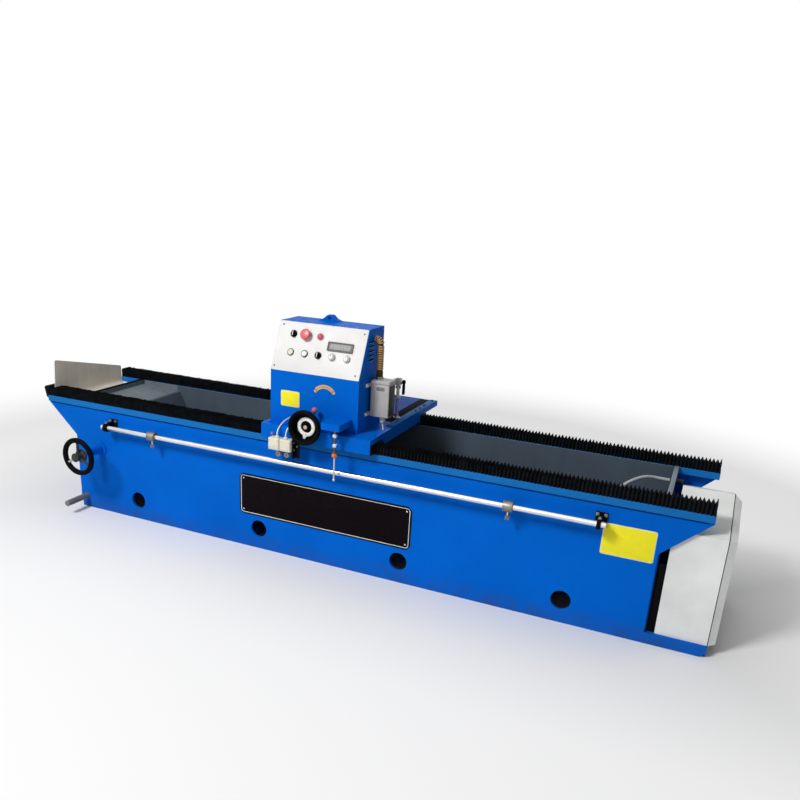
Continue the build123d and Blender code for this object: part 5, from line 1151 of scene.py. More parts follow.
class ButtonsOperator(GrinderOperator, bpy.types.Operator):
    """Makes the stop mushroom, the two push buttons, the selectors and the knobs"""

    bl_idname = "grinder.buttons"
    bl_label = "Buttons and knobs"

    # How far the stems reach behind the panel
    FOOT = -0.016

    def execute(self, context):
        self.stop()
        self.push("start_button", "start_green", "button_green")
        self.push("white_button", "button_white", "button_white")
        for name in SELECTOR_PLACES:
            self.selector(name)
        for name in KNOB_PLACES:
            self.knob(name)
        return {"FINISHED"}

    def stop(self):
        piece = Piece("stop_mushroom")
        place = on_panel(STOP_PLACES["stop_button"], 0)
        cap = [(0, 0.0140), (0.0205, 0.0140), (0.0238, 0.0152)]
        cap += corner_arc((0.0185, 0.0205), 0.0065, -35, 78, 8)
        cap += [(0.0120, 0.0284), (0, 0.0290)]
        piece.add(turned(cap, 48), place, "stop_red")
        piece.add(pin(0.0078, self.FOOT, 0.0145, 28), place, "black_plastic")
        piece.done("stop_button", "button_red", "stop_button")

    def push(self, name, finish, slot):
        piece = Piece(name + "_cap")
        cap = [(0, self.FOOT), (0.0107, self.FOOT), (0.0107, 0.0072)]
        cap += corner_arc((0.0092, 0.0073), 0.0015, 10, 80, 4)
        cap += [(0.0070, 0.0084), (0, 0.0080)]
        piece.add(turned(cap, 36), on_panel(BUTTON_PLACES[name], 0), finish)
        piece.done(name, slot, name)

    def selector(self, name):
        piece = Piece(name + "_grip")
        place = on_panel(SELECTOR_PLACES[name], 0)
        piece.add(pin(0.0059, self.FOOT, 0.004), place, "dark_steel")
        piece.add(ring(0.0005, 0.0140, 0.0026, 0.0092, 0.0012), place, "black_plastic")
        piece.add(block((0.0092, 0.0256, 0.0126), 0.0018, 3), place @ at(0, 0, 0.0152), "black_plastic")
        inlay = block((0.0034, 0.0215, 0.0006), 0.0002, 1)
        piece.add(inlay, place @ at(0.0020, 0, 0.0215), "button_white")
        piece.done(name, "black_plastic", name)

    def knob(self, name):
        piece = Piece(name + "_cap")
        place = on_panel(KNOB_PLACES[name], 0)
        piece.add(pin(0.0039, self.FOOT, 0.004, 20), place, "dark_steel")
        piece.add(knurled(0.0148, 0.0085, 34, 0.0007), place @ at(0, 0, 0.0027), "knob_pale")
        crown = [(0, 0.0110), (0.0136, 0.0110), (0.0122, 0.0178), (0.0112, 0.0192), (0.0085, 0.0193)]
        piece.add(turned(crown + [(0.0080, 0.0187), (0, 0.0187)], 40), place, "knob_pale")
        piece.add(ring(0.0106, 0.0127, 0.0176, 0.0196, 0.0006), place, "ring_grey")
        mark = block((0.0012, 0.0085, 0.0005), 0.0001, 1)
        piece.add(mark, place @ at(0, 0.0062, 0.0194), "black_plastic")
        piece.done(name, "knob_silver", name)


class FeedOperator(GrinderOperator, bpy.types.Operator):
    """Makes the black feed handwheel with its white dial, and the clutch lever behind it"""

    bl_idname = "grinder.feed"
    bl_label = "Feed wheel and clutch lever"

    AXIS = (-0.053, -0.400, 0.695)
    RIM = 0.080
    WEB = -0.0120
    DIAL_INNER = 0.0275
    DIAL_OUTER = 0.0440
    DIAL_FACE = -0.0055
    NUMBER_RADIUS = 0.0335
    LUG_LEAN = -10
    CLUTCH_Y = -0.335
    CLUTCH_LEAN = 10.5
    CLUTCH_LENGTH = 0.069
    BALL = 0.013

    def execute(self, context):
        self.wheel(context.scene.grinder_sizes.dial_ticks)
        self.clutch()
        return {"FINISHED"}

    def wheel(self, ticks):
        piece = Piece("feed_handwheel")
        place = facing(self.AXIS, FRONT)
        piece.add(ring(0.0640, self.RIM, 0, 0.0220, 0.0066, 64), place, "black_plastic")
        cup = [(0.0095, -0.0180), (0.0630, -0.0180), (0.0668, -0.0142), (0.0668, 0.0100)]
        cup += [(0.0602, 0.0100), (0.0602, -0.0100), (0.0582, self.WEB), (0.0095, self.WEB)]
        piece.add(turned(cup, 64, closed=True), place, "black_plastic")
        piece.add(ring(0.0092, 0.0220, -0.0200, self.WEB - 0.0005, 0.0010, 40), place, "black_plastic")
        self.dial(piece, place, ticks)
        outline = [(-0.0130, 0.010), (-0.0040, -0.0115), (0.0040, -0.0115), (0.0130, 0.010)]
        lug = flat_plate(outline, 0.0060, 0.0020, 0.0010)
        piece.add(lug, place @ spun(self.LUG_LEAN) @ at(0, -0.0460, self.WEB), "dial_white")
        cap = [(0, self.WEB), (0.0160, self.WEB), (0.0160, -0.0024), (0.0136, 0), (0, 0)]
        piece.add(turned(cap, 40), place, "black_plastic")
        piece.add(hexagon(0.0095, 0.0045), place, "pink_brass")
        piece.done("feed_drive", "black_plastic", "feed_wheel")

    def dial(self, piece, place, ticks):
        """White ring with marks and numbers."""
        face = self.DIAL_FACE
        white = ring(self.DIAL_INNER, self.DIAL_OUTER, self.WEB - 0.0005, face - 0.0002, 0.0012, 64)
        piece.add(white, place, "dial_white")
        for k in range(ticks):
            length = 0.0055 if k % 5 == 0 else 0.0032
            middle = self.DIAL_OUTER - 0.0022 - length / 2
            spot = place @ spun(360 * k / ticks) @ at(0, middle, face - 0.0001)
            piece.add(block((0.0008, length, 0.0003), 0.00006, 1), spot, "black_plastic")
        for k in range(4):
            spot = place @ spun(-90 * k) @ at(0, self.NUMBER_RADIUS, face - 0.0002)
            piece.add(numeral(str(10 * k), 0.0060), spot, "black_plastic")

    def clutch(self):
        piece = Piece("clutch_handle")
        axis = Vector((self.AXIS[0], self.CLUTCH_Y - 0.005, self.AXIS[2]))
        lean = math.radians(self.CLUTCH_LEAN)
        along = Vector((math.sin(lean), 0, math.cos(lean)))
        piece.add(ring(0.0162, 0.0210, -0.005, 0.005, 0.0012), facing(axis, FRONT), "dark_steel")
        stem = turned([(0, 0.019), (0.0056, 0.019), (0.0050, 0.030), (0.0042, 0.059), (0, 0.059)], 24)
        piece.add(stem, facing(axis, along), "turned_steel")
        piece.add(ring(0.0020, 0.0062, 0.0500, 0.0575, 0.0010, 24), facing(axis, along), "dark_steel")
        piece.add(ball(self.BALL), facing(axis + along * self.CLUTCH_LENGTH, along), "ball_red")
        piece.done("clutch_lever", "dark_steel", "clutch_lever")


class SwitchOperator(GrinderOperator, bpy.types.Operator):
    """Makes the two limit switches, their rollers, bracket and leads"""

    bl_idname = "grinder.switches"
    bl_label = "Limit switches"

    ROLLERS = {"left_roller": -0.205, "right_roller": -0.160}
    ROLLER_Y = -0.375
    ROLLER_Z = 0.540
    ROLLER = 0.0130
    SEAM = 0.0020
    LEAD = 0.0030
    # From a switch to the control box, X counted from its roller
    SWITCH_LEAD = (
        (0, -0.391, 0.6275),
        (0, -0.391, 0.657),
        (0.014, -0.357, 0.691),
        (0.020, -0.319, 0.699),
        (0.020, -0.3052, 0.699),
    )
    # From the junction box down to the saddle
    BOX_LEAD = (
        (0.2195, -0.1675, 0.7165),
        (0.2195, -0.1675, 0.6965),
        (0.2275, -0.1735, 0.6805),
        (0.2275, -0.1735, 0.6732),
    )

    def execute(self, context):
        self.housings(context.scene.grinder_sizes.screw_head)
        self.bracket()
        for name, x in self.ROLLERS.items():
            self.roller(name, x)
        self.leads()
        return {"FINISHED"}

    def housings(self, screw_head):
        piece = Piece("switch_housings")
        low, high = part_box("limit_switch")
        middle = (low + high) / 2
        top = high.z - 0.008
        height = top - low.z
        width = (high.x - low.x) / 2 - self.SEAM / 2
        for x, side in zip(self.ROLLERS.values(), (-1, 1)):
            centre = Vector((middle.x + side * (width + self.SEAM) / 2, middle.y, low.z + height / 2))
            body = block((width, high.y - low.y - 0.002, height), 0.0045, 3)
            hole = (0.0056, 0.040, at(x - centre.x, self.ROLLER_Y - centre.y, low.z - 0.001 - centre.z))
            piece.add(drilled(body, [hole]), at(*centre), "switch_ivory")
            lid = flat_plate(rectangle(width - 0.006, height - 0.008), 0.0022, 0.004, 0.0009)
            front = facing((centre.x, low.y + 0.0012, centre.z), FRONT)
            piece.add(lid, front, "switch_ivory")
            for aside, rise in corners(width / 2 - 0.008, height / 2 - 0.010):
                screw = socket_screw(screw_head * 0.75, 0.0014)
                piece.add(screw, front @ at(aside, rise, 0.0020), "turned_steel")
            gland = facing((x, centre.y, top - 0.001), UPWARD)
            piece.add(hexagon(0.0120, 0.0050), gland, "switch_ivory")
            nut = [(0.0033, 0.004), (0.0092, 0.004), (0.0088, 0.0072), (0.0060, 0.0090), (0.0033, 0.0090)]
            piece.add(turned(nut, 28, closed=True), gland, "lead_white")
            boot = facing((x, self.ROLLER_Y, low.z + 0.0005), DOWNWARD)
            piece.add(ring(0.0057, 0.0098, 0, 0.0046, 0.0010, 28), boot, "seal_black")
        piece.done("carriage", "cream_paint", "limit_switch")

    def bracket(self):
        """Dark angle beside the switches, screwed to the saddle."""
        piece = Piece("switch_bracket")
        low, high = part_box("limit_switch")
        foot = high.x + 0.001
        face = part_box("saddle")[0].y
        middle = (low.z + high.z) / 2 - 0.004
        drop = middle - 0.009
        side = block((0.004, 0.027, 0.104), 0.0008)
        piece.add(side, at(foot + 0.002, face - 0.0135, drop), "frame_black")
        back = block((0.026, 0.004, 0.104), 0.0008)
        piece.add(back, at(foot + 0.013, face - 0.0020, drop), "frame_black")
        plug = facing((low.x - 0.002, face, high.z + 0.001), FRONT)
        piece.add(dome(0.0058, 0.0060, 0.0020), plug, "stop_red")
        for rise in (-0.004, 0.034):
            spot = facing((foot + 0.014, face - 0.0038, middle + rise), FRONT)
            piece.add(socket_screw(0.0045, 0.0045), spot, "zinc")
        for rise in (-0.020, 0.014):
            spot = facing((foot + 0.004, face - 0.016, middle + rise), RIGHT)
            piece.add(hexagon(0.0055, 0.0035), spot, "zinc")
        piece.done("carriage", "dark_steel")

    def roller(self, name, x):
        piece = Piece(name + "_wheel")
        axle = facing((x, self.ROLLER_Y - 0.0080, self.ROLLER_Z), REAR)
        piece.add(rod(0.0034, 0.0166, 0.0006, 24), axle @ at(0, 0, -0.0003), "dark_steel")
        for start in (0.0002, 0.0124):
            piece.add(ring(0.0032, self.ROLLER, start, start + 0.0034, 0.0010, 40), axle, "zinc")
        piece.add(ring(0.0030, self.ROLLER * 0.55, 0.0030, 0.0130, 0.0008, 28), axle, "turned_steel")
        stem = facing((x, self.ROLLER_Y, self.ROLLER_Z), UPWARD)
        piece.add(rod(0.0044, 0.0480, 0.0005, 24), stem, "turned_steel")
        piece.done(name, "bright_steel", name)

    def leads(self):
        piece = Piece("switch_and_box_leads")
        routes = [[(x + aside, y, z) for aside, y, z in self.SWITCH_LEAD] for x in self.ROLLERS.values()]
        for route in routes + [self.BOX_LEAD]:
            piece.add(tube(route, self.LEAD), HERE, "lead_white")
        piece.done("carriage", "lead_grey", "carriage_leads")


class TripOperator(GrinderOperator, bpy.types.Operator):
    """Makes the trip lever with its red ball, the stop collars and the bracket bolts"""

    bl_idname = "grinder.trip"
    bl_label = "Trip lever and collars"

    PIVOT = (0.102, -0.413, 0.721)
    # Places along the lever from its pivot, and radii
    BEADS = ((0.028, 0.0130), (0.072, 0.0124))
    COLLARS = {"left_collar": -0.940, "right_collar": 0.890}
    COLLAR_GROOVES = (0.0075, 0.0345)
    ROD_Y = -0.375
    ROD_Z = 0.500
    ROD = 0.0125
    BRACKETS = (-1.232, 1.257)

    def execute(self, context):
        self.lever()
        for name, x in self.COLLARS.items():
            self.collar(name, x)
        self.bracket_bolts()
        return {"FINISHED"}

    def lever(self):
        piece = Piece("trip_handle")
        down = facing(self.PIVOT, DOWNWARD)
        hub = ring(0.0052, 0.0100, -0.0060, 0.0060, 0.0010, 32)
        piece.add(hub, facing(self.PIVOT, FRONT), "turned_steel")
        piece.add(pin(0.0060, 0.0085, 0.1200), down, "dark_steel")
        for drop, swell in self.BEADS:
            bead = [(0, 0), (swell - 0.004, 0), (swell, 0.004), (swell, 0.012)]
            bead += [(swell - 0.003, 0.017), (0, 0.017)]
            piece.add(turned(bead, 32), down @ at(0, 0, drop), "bright_steel")
        nut = [(0, 0.1080), (0.0080, 0.1080), (0.0095, 0.1160), (0, 0.1160)]
        piece.add(turned(nut, 28), down, "dark_steel")
        piece.add(ball(0.0130), down @ at(0, 0, 0.128), "ball_orange")
        tail = [(0, 0.136), (0.0040, 0.138), (0.0040, 0.241), (0, 0.241)]
        piece.add(turned(tail, 20), down, "turned_steel")
        piece.add(ball(0.0065), down @ at(0, 0, 0.243), "turned_steel")
        piece.done("trip_lever", "bright_steel", "trip_lever")

    def collar(self, name, x):
        piece = Piece(name + "_clamp")
        along = facing((x - 0.021, self.ROD_Y, self.ROD_Z), RIGHT)
        piece.add(ring(self.ROD + 0.0001, 0.0240, 0, 0.0420, 0.0030, 48), along, "zinc")
        for place in self.COLLAR_GROOVES:
            groove = ring(0.0225, 0.02425, place - 0.0008, place + 0.0008, 0.0004, 48)
            piece.add(groove, along, "dark_steel")
        down = facing((x, self.ROD_Y, self.ROD_Z), DOWNWARD)
        piece.add(rod(0.0040, 0.0220, 0.0004, 20), down @ at(0, 0, 0.0200), "turned_steel")
        piece.add(knurled(0.0090, 0.0170), down @ at(0, 0, 0.0400), "zinc")
        piece.add(dome(0.0078, 0.0028), down @ at(0, 0, 0.0560), "zinc")
        piece.done(name, "dark_steel", name)

    def bracket_bolts(self):
        piece = Piece("rod_bracket_bolts")
        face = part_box("rod_brackets")[1].y - 0.007
        for x in self.BRACKETS:
            for aside in (-0.0160, 0.0160):
                spot = facing((x + aside, face, self.ROD_Z + 0.0225), FRONT)
                piece.add(ring(0.0030, 0.0078, 0, 0.0012, 0.0003, 24), spot, "zinc")
                piece.add(hexagon(0.0066, 0.0052), spot @ at(0, 0, 0.001), "zinc")
            clamp = facing((x, self.ROD_Y, self.ROD_Z + 0.0218), UPWARD)
            piece.add(hexagon(0.0080, 0.0060), clamp, "zinc")
            piece.add(rod(0.0045, 0.0100, 0.0006, 20), clamp, "zinc")
        piece.done("root", "bright_steel")


class JunctionOperator(GrinderOperator, bpy.types.Operator):
    """Makes the grey junction box beside the control box, and the ribbed conduit above it"""

    bl_idname = "grinder.junction"
    bl_label = "Junction box and conduit"

    LOW = Vector((0.170, -0.205, 0.7365))
    HIGH = Vector((0.260, -0.130, 0.9035))
    LID = 0.016
    STAND_OFFS = (0.7475, 0.8795)
    GLAND = (0.2195, -0.1675)
    CONDUIT = (0.190, -0.155)
    CONDUIT_FOOT = 0.9135
    CONDUIT_BORE = 0.0098
    CONDUIT_ROOT = 0.0112
    CONDUIT_RIB = 0.0150
    RIB_EDGE = 0.0016
    ELBOW_RADIUS = 0.018
    ELBOW_RIBS = 4
    ELBOW_TOP = 1.080
    BOX_SIDE = 0.158

    def execute(self, context):
        self.box()
        self.conduit(context.scene.grinder_sizes.rib_pitch)
        return {"FINISHED"}

    def box(self):
        piece = Piece("junction_housing")
        middle = (self.LOW + self.HIGH) / 2
        size = self.HIGH - self.LOW
        body = block((size.x, size.y, size.z - self.LID), 0.0045, 3)
        piece.add(body, at(middle.x, middle.y, middle.z - self.LID / 2), "junction_cast")
        lid = block((size.x + 0.002, size.y + 0.003, self.LID), 0.0035, 3)
        piece.add(lid, at(middle.x + 0.0005, middle.y, self.HIGH.z - self.LID / 2), "junction_cast")
        for aside, back in corners(0.036, 0.029):
            spot = facing((middle.x + aside, middle.y + back, self.HIGH.z - 0.0008), UPWARD)
            piece.add(socket_screw(0.0042, 0.0024), spot, "turned_steel")
        for z in self.STAND_OFFS:
            tab = block((0.003, 0.044, 0.018), 0.0010)
            piece.add(tab, at(self.BOX_SIDE + 0.0016, self.LOW.y - 0.009, z), "junction_cast")
            gap = self.LOW.x - self.BOX_SIDE
            foot = block((gap + 0.002, 0.018, 0.016), 0.0010)
            piece.add(foot, at(self.BOX_SIDE + gap / 2 + 0.001, self.LOW.y + 0.013, z), "junction_cast")
            bolt = facing((self.BOX_SIDE + 0.003, self.LOW.y - 0.020, z), RIGHT)
            piece.add(ring(0.0030, 0.0098, 0, 0.0014, 0.0004, 28), bolt, "bright_steel")
            piece.add(hexagon(0.0085, 0.0068), bolt @ at(0, 0, 0.0012), "bright_steel")
        # Near-black plate on the right side: painted shade for that side's shadow
        side = block((0.0016, size.y - 0.012, size.z - self.LID - 0.010), 0.0005)
        piece.add(side, at(self.HIGH.x + 0.0003, middle.y, middle.z - self.LID / 2), "wheel_cast")
        badge = flat_plate(rectangle(0.040, 0.016), 0.0006, 0.002, 0.0002)
        piece.add(badge, facing((middle.x + 0.004, self.LOW.y, self.HIGH.z - 0.036), FRONT), "badge_grey")
        gland = facing((*self.GLAND, self.LOW.z + 0.001), DOWNWARD)
        piece.add(hexagon(0.0150, 0.0085), gland, "pipe_cream")
        nut = [(0.0032, 0.007), (0.0138, 0.007), (0.0132, 0.0250), (0.0090, 0.0320), (0.0032, 0.0320)]
        piece.add(turned(nut, 32, closed=True), gland, "pipe_cream")
        collar = facing((*self.CONDUIT, self.HIGH.z - 0.001), UPWARD)
        piece.add(hexagon(0.0190, 0.0060), collar, "zinc")
        piece.add(ring(0.0100, 0.0168, 0.004, 0.0108, 0.0014), collar, "zinc")
        piece.done("carriage", "box_grey", "junction_box")

    def rib(self, low, high):
        """One rib of the conduit."""
        return ring(self.CONDUIT_ROOT - 0.0004, self.CONDUIT_RIB, low, high, self.RIB_EDGE, 36)

    def conduit(self, pitch):
        piece = Piece("ribbed_conduit")
        end = self.ELBOW_TOP - self.ELBOW_RADIUS
        length = end - self.CONDUIT_FOOT
        upright = facing((*self.CONDUIT, self.CONDUIT_FOOT), UPWARD)
        bore = self.CONDUIT_BORE
        foot = [(bore, 0), (0.0146, 0), (0.0146, 0.020), (0.0126, 0.030), (bore, 0.030)]
        # Foot, core and elbow in near-black brown: painted shade between the ribs and at the foot
        piece.add(turned(foot, 36, closed=True), upright, "conduit_groove")
        piece.add(ring(bore, self.CONDUIT_ROOT, 0.028, length, 0.0004, 36), upright, "conduit_groove")
        for k in range(int((length - 0.031) // pitch)):
            low = 0.032 + k * pitch
            piece.add(self.rib(low, low + 0.7 * pitch), upright, "conduit_tan")
        piece.add(self.elbow(), HERE, "conduit_groove")
        bend = at(self.CONDUIT[0] - self.ELBOW_RADIUS, self.CONDUIT[1], end)
        for k in range(self.ELBOW_RIBS):
            turn = Matrix.Rotation(-math.radians(90 * (k + 0.5) / self.ELBOW_RIBS), 4, "Y")
            piece.add(self.rib(-0.0031, 0.0031), bend @ turn @ at(self.ELBOW_RADIUS, 0, 0), "conduit_tan")
        run = self.CONDUIT[0] - self.ELBOW_RADIUS - self.BOX_SIDE
        side = facing((self.BOX_SIDE, self.CONDUIT[1], self.ELBOW_TOP), RIGHT)
        piece.add(hexagon(0.0165, run - 0.002), side, "zinc")
        piece.done("carriage", "conduit_tan", "conduit")

    def elbow(self):
        """A quarter bend from the conduit's top to the side of the control box."""
        shape = bmesh.new()
        x, y = self.CONDUIT
        bend = self.ELBOW_TOP - self.ELBOW_RADIUS
        foot = at(x, y, bend - 0.002)
        bmesh.ops.create_circle(shape, segments=32, radius=self.CONDUIT_ROOT, matrix=foot)
        verts, edges = extruded(bmesh.ops.extrude_edge_only(shape, edges=list(shape.edges)))
        bmesh.ops.translate(shape, vec=(0, 0, 0.002), verts=verts)
        centre = (x - self.ELBOW_RADIUS, y, bend)
        bmesh.ops.spin(shape, geom=verts + edges, cent=centre, axis=FRONT, angle=math.pi / 2, steps=10)
        bmesh.ops.remove_doubles(shape, verts=shape.verts, dist=1e-6)
        bmesh.ops.holes_fill(shape, edges=shape.edges)
        bmesh.ops.recalc_face_normals(shape, faces=shape.faces)
        return shape


class CoolantOperator(GrinderOperator, bpy.types.Operator):
    """Makes the coolant riser with its valve and nozzle pipe, and the valve's black handle"""

    bl_idname = "grinder.coolant"
    bl_label = "Coolant riser"

    RISER = (0.200, 0.052)
    FOOT = 0.673
    VALVE = 0.853
    NOZZLE_X = 0.081
    NOZZLE_BEND = 0.055
    NOZZLE_END = 0.5760
    HANDLE_X = 0.222

    def execute(self, context):
        self.riser()
        self.handle()
        return {"FINISHED"}

    def riser(self):
        piece = Piece("coolant_riser")
        x, y = self.RISER
        upright = facing((x, y, self.FOOT), UPWARD)
        flange = [(0, 0), (0.0180, 0), (0.0180, 0.0045), (0.0165, 0.0060), (0.0110, 0.0064)]
        piece.add(turned(flange + [(0.0095, 0.0120), (0, 0.0120)], 40), upright, "zinc")
        stack = (
            (rod(0.0080, 0.0960, 0.0004), 0.0040, "pipe_violet"),
            (hexagon(0.0122, 0.0160), 0.0980, "pipe_cream"),
            (rod(0.0080, 0.0480, 0.0004), 0.1120, "pipe_cream"),
            (hexagon(0.0130, 0.0140), 0.1460, "pipe_cream"),
        )
        for shape, foot, finish in stack:
            piece.add(shape, upright @ at(0, 0, foot), finish)
        piece.add(block((0.030, 0.030, 0.034), 0.0060, 4), at(x, y, self.VALVE), "pipe_cream")
        piece.add(hexagon(0.0130, 0.0120), facing((x - 0.013, y, self.VALVE), LEFT), "pink_brass")
        stem = facing((x, y, self.VALVE), RIGHT)
        piece.add(rod(0.0100, 0.0190, 0.0010), stem, "turned_steel")
        piece.add(rod(0.0059, 0.0295, 0.0006), stem, "turned_steel")
        across = [(place, y, self.VALVE) for place in (x - 0.020, 0.120, self.NOZZLE_X)]
        down = [(self.NOZZLE_X, y, z) for z in (self.VALVE - self.NOZZLE_BEND, self.NOZZLE_END)]
        piece.add(tube(across + down, 0.0070), HERE, "turned_steel")
        tip = facing((self.NOZZLE_X, y, self.NOZZLE_END + 0.030), DOWNWARD)
        nozzle = [(0.0040, 0), (0.0092, 0), (0.0092, 0.016), (0.0060, 0.0300), (0.0040, 0.0300)]
        piece.add(turned(nozzle, 28, closed=True), tip, "pink_brass")
        piece.done("carriage", "bright_steel", "coolant_pipe")

    def handle(self):
        piece = Piece("valve_lever")
        place = facing((self.HANDLE_X, self.RISER[1], self.VALVE), RIGHT)
        piece.add(ring(0.0061, 0.0110, 0, 0.0120, 0.0015, 32), place, "black_plastic")
        grip = block((0.0160, 0.0510, 0.0120), 0.0045, 4)
        piece.add(grip, place @ at(0, -0.0355, 0.0060), "black_plastic")
        piece.done("valve_handle", "black_plastic", "valve_handle")


class TiltWheelOperator(GrinderOperator, bpy.types.Operator):
    """Makes the handwheel that tilts the knife table"""

    bl_idname = "grinder.tilt_wheel"
    bl_label = "Tilt handwheel"

    CENTRE = (-1.333, -0.482, 0.354)
    RIM_RADIUS = 0.0865
    RIM_SECTION = 0.0135
    SPOKE = ((0, 0.0170), (0.0092, 0.0170), (0.0074, 0.0300), (0.0066, 0.0640), (0.0082, 0.0780), (0, 0.0800))
    SPOKES = 3
    # One spoke in bright steel and the others dark cast: a painted highlight on that spoke
    HIGHLIT_SPOKE = 1

    def execute(self, context):
        piece = Piece("tilt_wheel_rim")
        place = facing(self.CENTRE, FRONT)
        section = corner_arc((self.RIM_RADIUS, 0), self.RIM_SECTION, 0, 360, 20)[:-1]
        piece.add(turned(section, 72, closed=True), place, "black_plastic")
        hub = [(0.0126, -0.0250), (0.0330, -0.0250), (0.0345, -0.0230), (0.0340, -0.0150), (0.0230, -0.0090)]
        hub += [(0.0215, 0.0110), (0.0235, 0.0225), (0.0220, 0.0250), (0.0126, 0.0250)]
        piece.add(turned(hub, 48, closed=True), place, "wheel_cast")
        piece.add(dome(0.0150, 0.0070, 0.0030), place @ at(0, 0, 0.0246), "wheel_cast")
        for k in range(self.SPOKES):
            outwards = place @ spun(360 * k / self.SPOKES) @ facing((0, 0, 0), REAR)
            finish = "turned_steel" if k == self.HIGHLIT_SPOKE else "wheel_cast"
            piece.add(turned(self.SPOKE, 24), outwards, finish)
        piece.done("tilt_drive", "black_plastic", "tilt_handwheel")
        return {"FINISHED"}


class PlatesOperator(GrinderOperator, bpy.types.Operator):
    """Fits the blank plates on the front: the long black one, two yellow ones and a curved one"""

    bl_idname = "grinder.plates"
    bl_label = "Plates"

    LONG_CORNER = 0.018
    BED_FACE = -0.317
    YELLOW_MIDDLE = (1.373, 0.423)
    YELLOW_SIZE = (0.208, 0.136)
    TAG_MIDDLE = (-0.187, 0.787)
    TAG_SIZE = (0.098, 0.074)
    MARK_CENTRE = (-0.010, 0.809)
    MARK_INNER = 0.049
    MARK_OUTER = 0.066
    MARK_SPAN = (143, 40)
    MARK_THICKNESS = 0.0010

    def execute(self, context):
        self.long_plate()
        self.yellow_plate()
        self.box_plates()
        return {"FINISHED"}

    def long_plate(self):
        piece = Piece("blank_long_plate")
        low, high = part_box("name_plate")
        width, thickness, height = high - low
        x, y, cut = width / 2, height / 2, self.LONG_CORNER
        place = facing((low.x + x, high.y, low.z + y), FRONT)
        outline = [(x - cut, -y), (x, -y + cut), (x, y - cut), (x - cut, y)]
        outline += [(-across, -up) for across, up in outline]
        piece.add(flat_plate(outline, thickness, 0, 0.0006), place, "plate_black")
        border = frame_line(width - 0.016, height - 0.016, 0.0034, 0.0010, 0.015)
        piece.add(border, place @ at(0, 0, thickness - 0.0003), "plate_edge")
        inner = flat_plate(rectangle(width - 0.0236, height - 0.0236), 0.0006, 0.012, 0.0001)
        piece.add(inner, place @ at(0, 0, thickness), "plate_black")
        for across, up in corners(x - 0.024, y - 0.024):
            piece.add(dome(0.0042, 0.0020), place @ at(across, up, thickness), "turned_steel")
        piece.done("root", "plate_black", "name_plate")

    def edged(self, piece, place, size, corner):
        """A yellow plate on a slightly larger pale one."""
        width, height = size
        piece.add(flat_plate(rectangle(width, height), 0.0009, corner, 0.0003), place, "plate_edge")
        inner = flat_plate(rectangle(width - 0.006, height - 0.006), 0.0012, corner - 0.002, 0.0003)
        piece.add(inner, place, "plate_yellow")

    def yellow_plate(self):
        piece = Piece("blank_yellow_plate")
        x, z = self.YELLOW_MIDDLE
        self.edged(piece, facing((x, self.BED_FACE, z), FRONT), self.YELLOW_SIZE, 0.009)
        piece.done("root", "panel_white")

    def box_plates(self):
        piece = Piece("blank_tag_and_mark")
        x, z = self.TAG_MIDDLE
        self.edged(piece, facing((x, PANEL_FOOT.y, z), FRONT), self.TAG_SIZE, 0.008)
        x, z = self.MARK_CENTRE
        place = facing((x, PANEL_FOOT.y, z), FRONT)
        band = arc_band(self.MARK_INNER, self.MARK_OUTER, *self.MARK_SPAN, self.MARK_THICKNESS)
        piece.add(band, place, "mark_amber")
        half = (self.MARK_OUTER - self.MARK_INNER) / 2
        for angle in self.MARK_SPAN:
            end = place @ spun(angle) @ at(self.MARK_INNER + half, 0, 0)
            piece.add(pin(half, 0, self.MARK_THICKNESS, 32), end, "mark_amber")
        core = arc_band(self.MARK_INNER + 0.0045, self.MARK_OUTER - 0.0045, *self.MARK_SPAN, 0.0013)
        piece.add(core, place, "mark_core")
        piece.done("carriage", "panel_white")


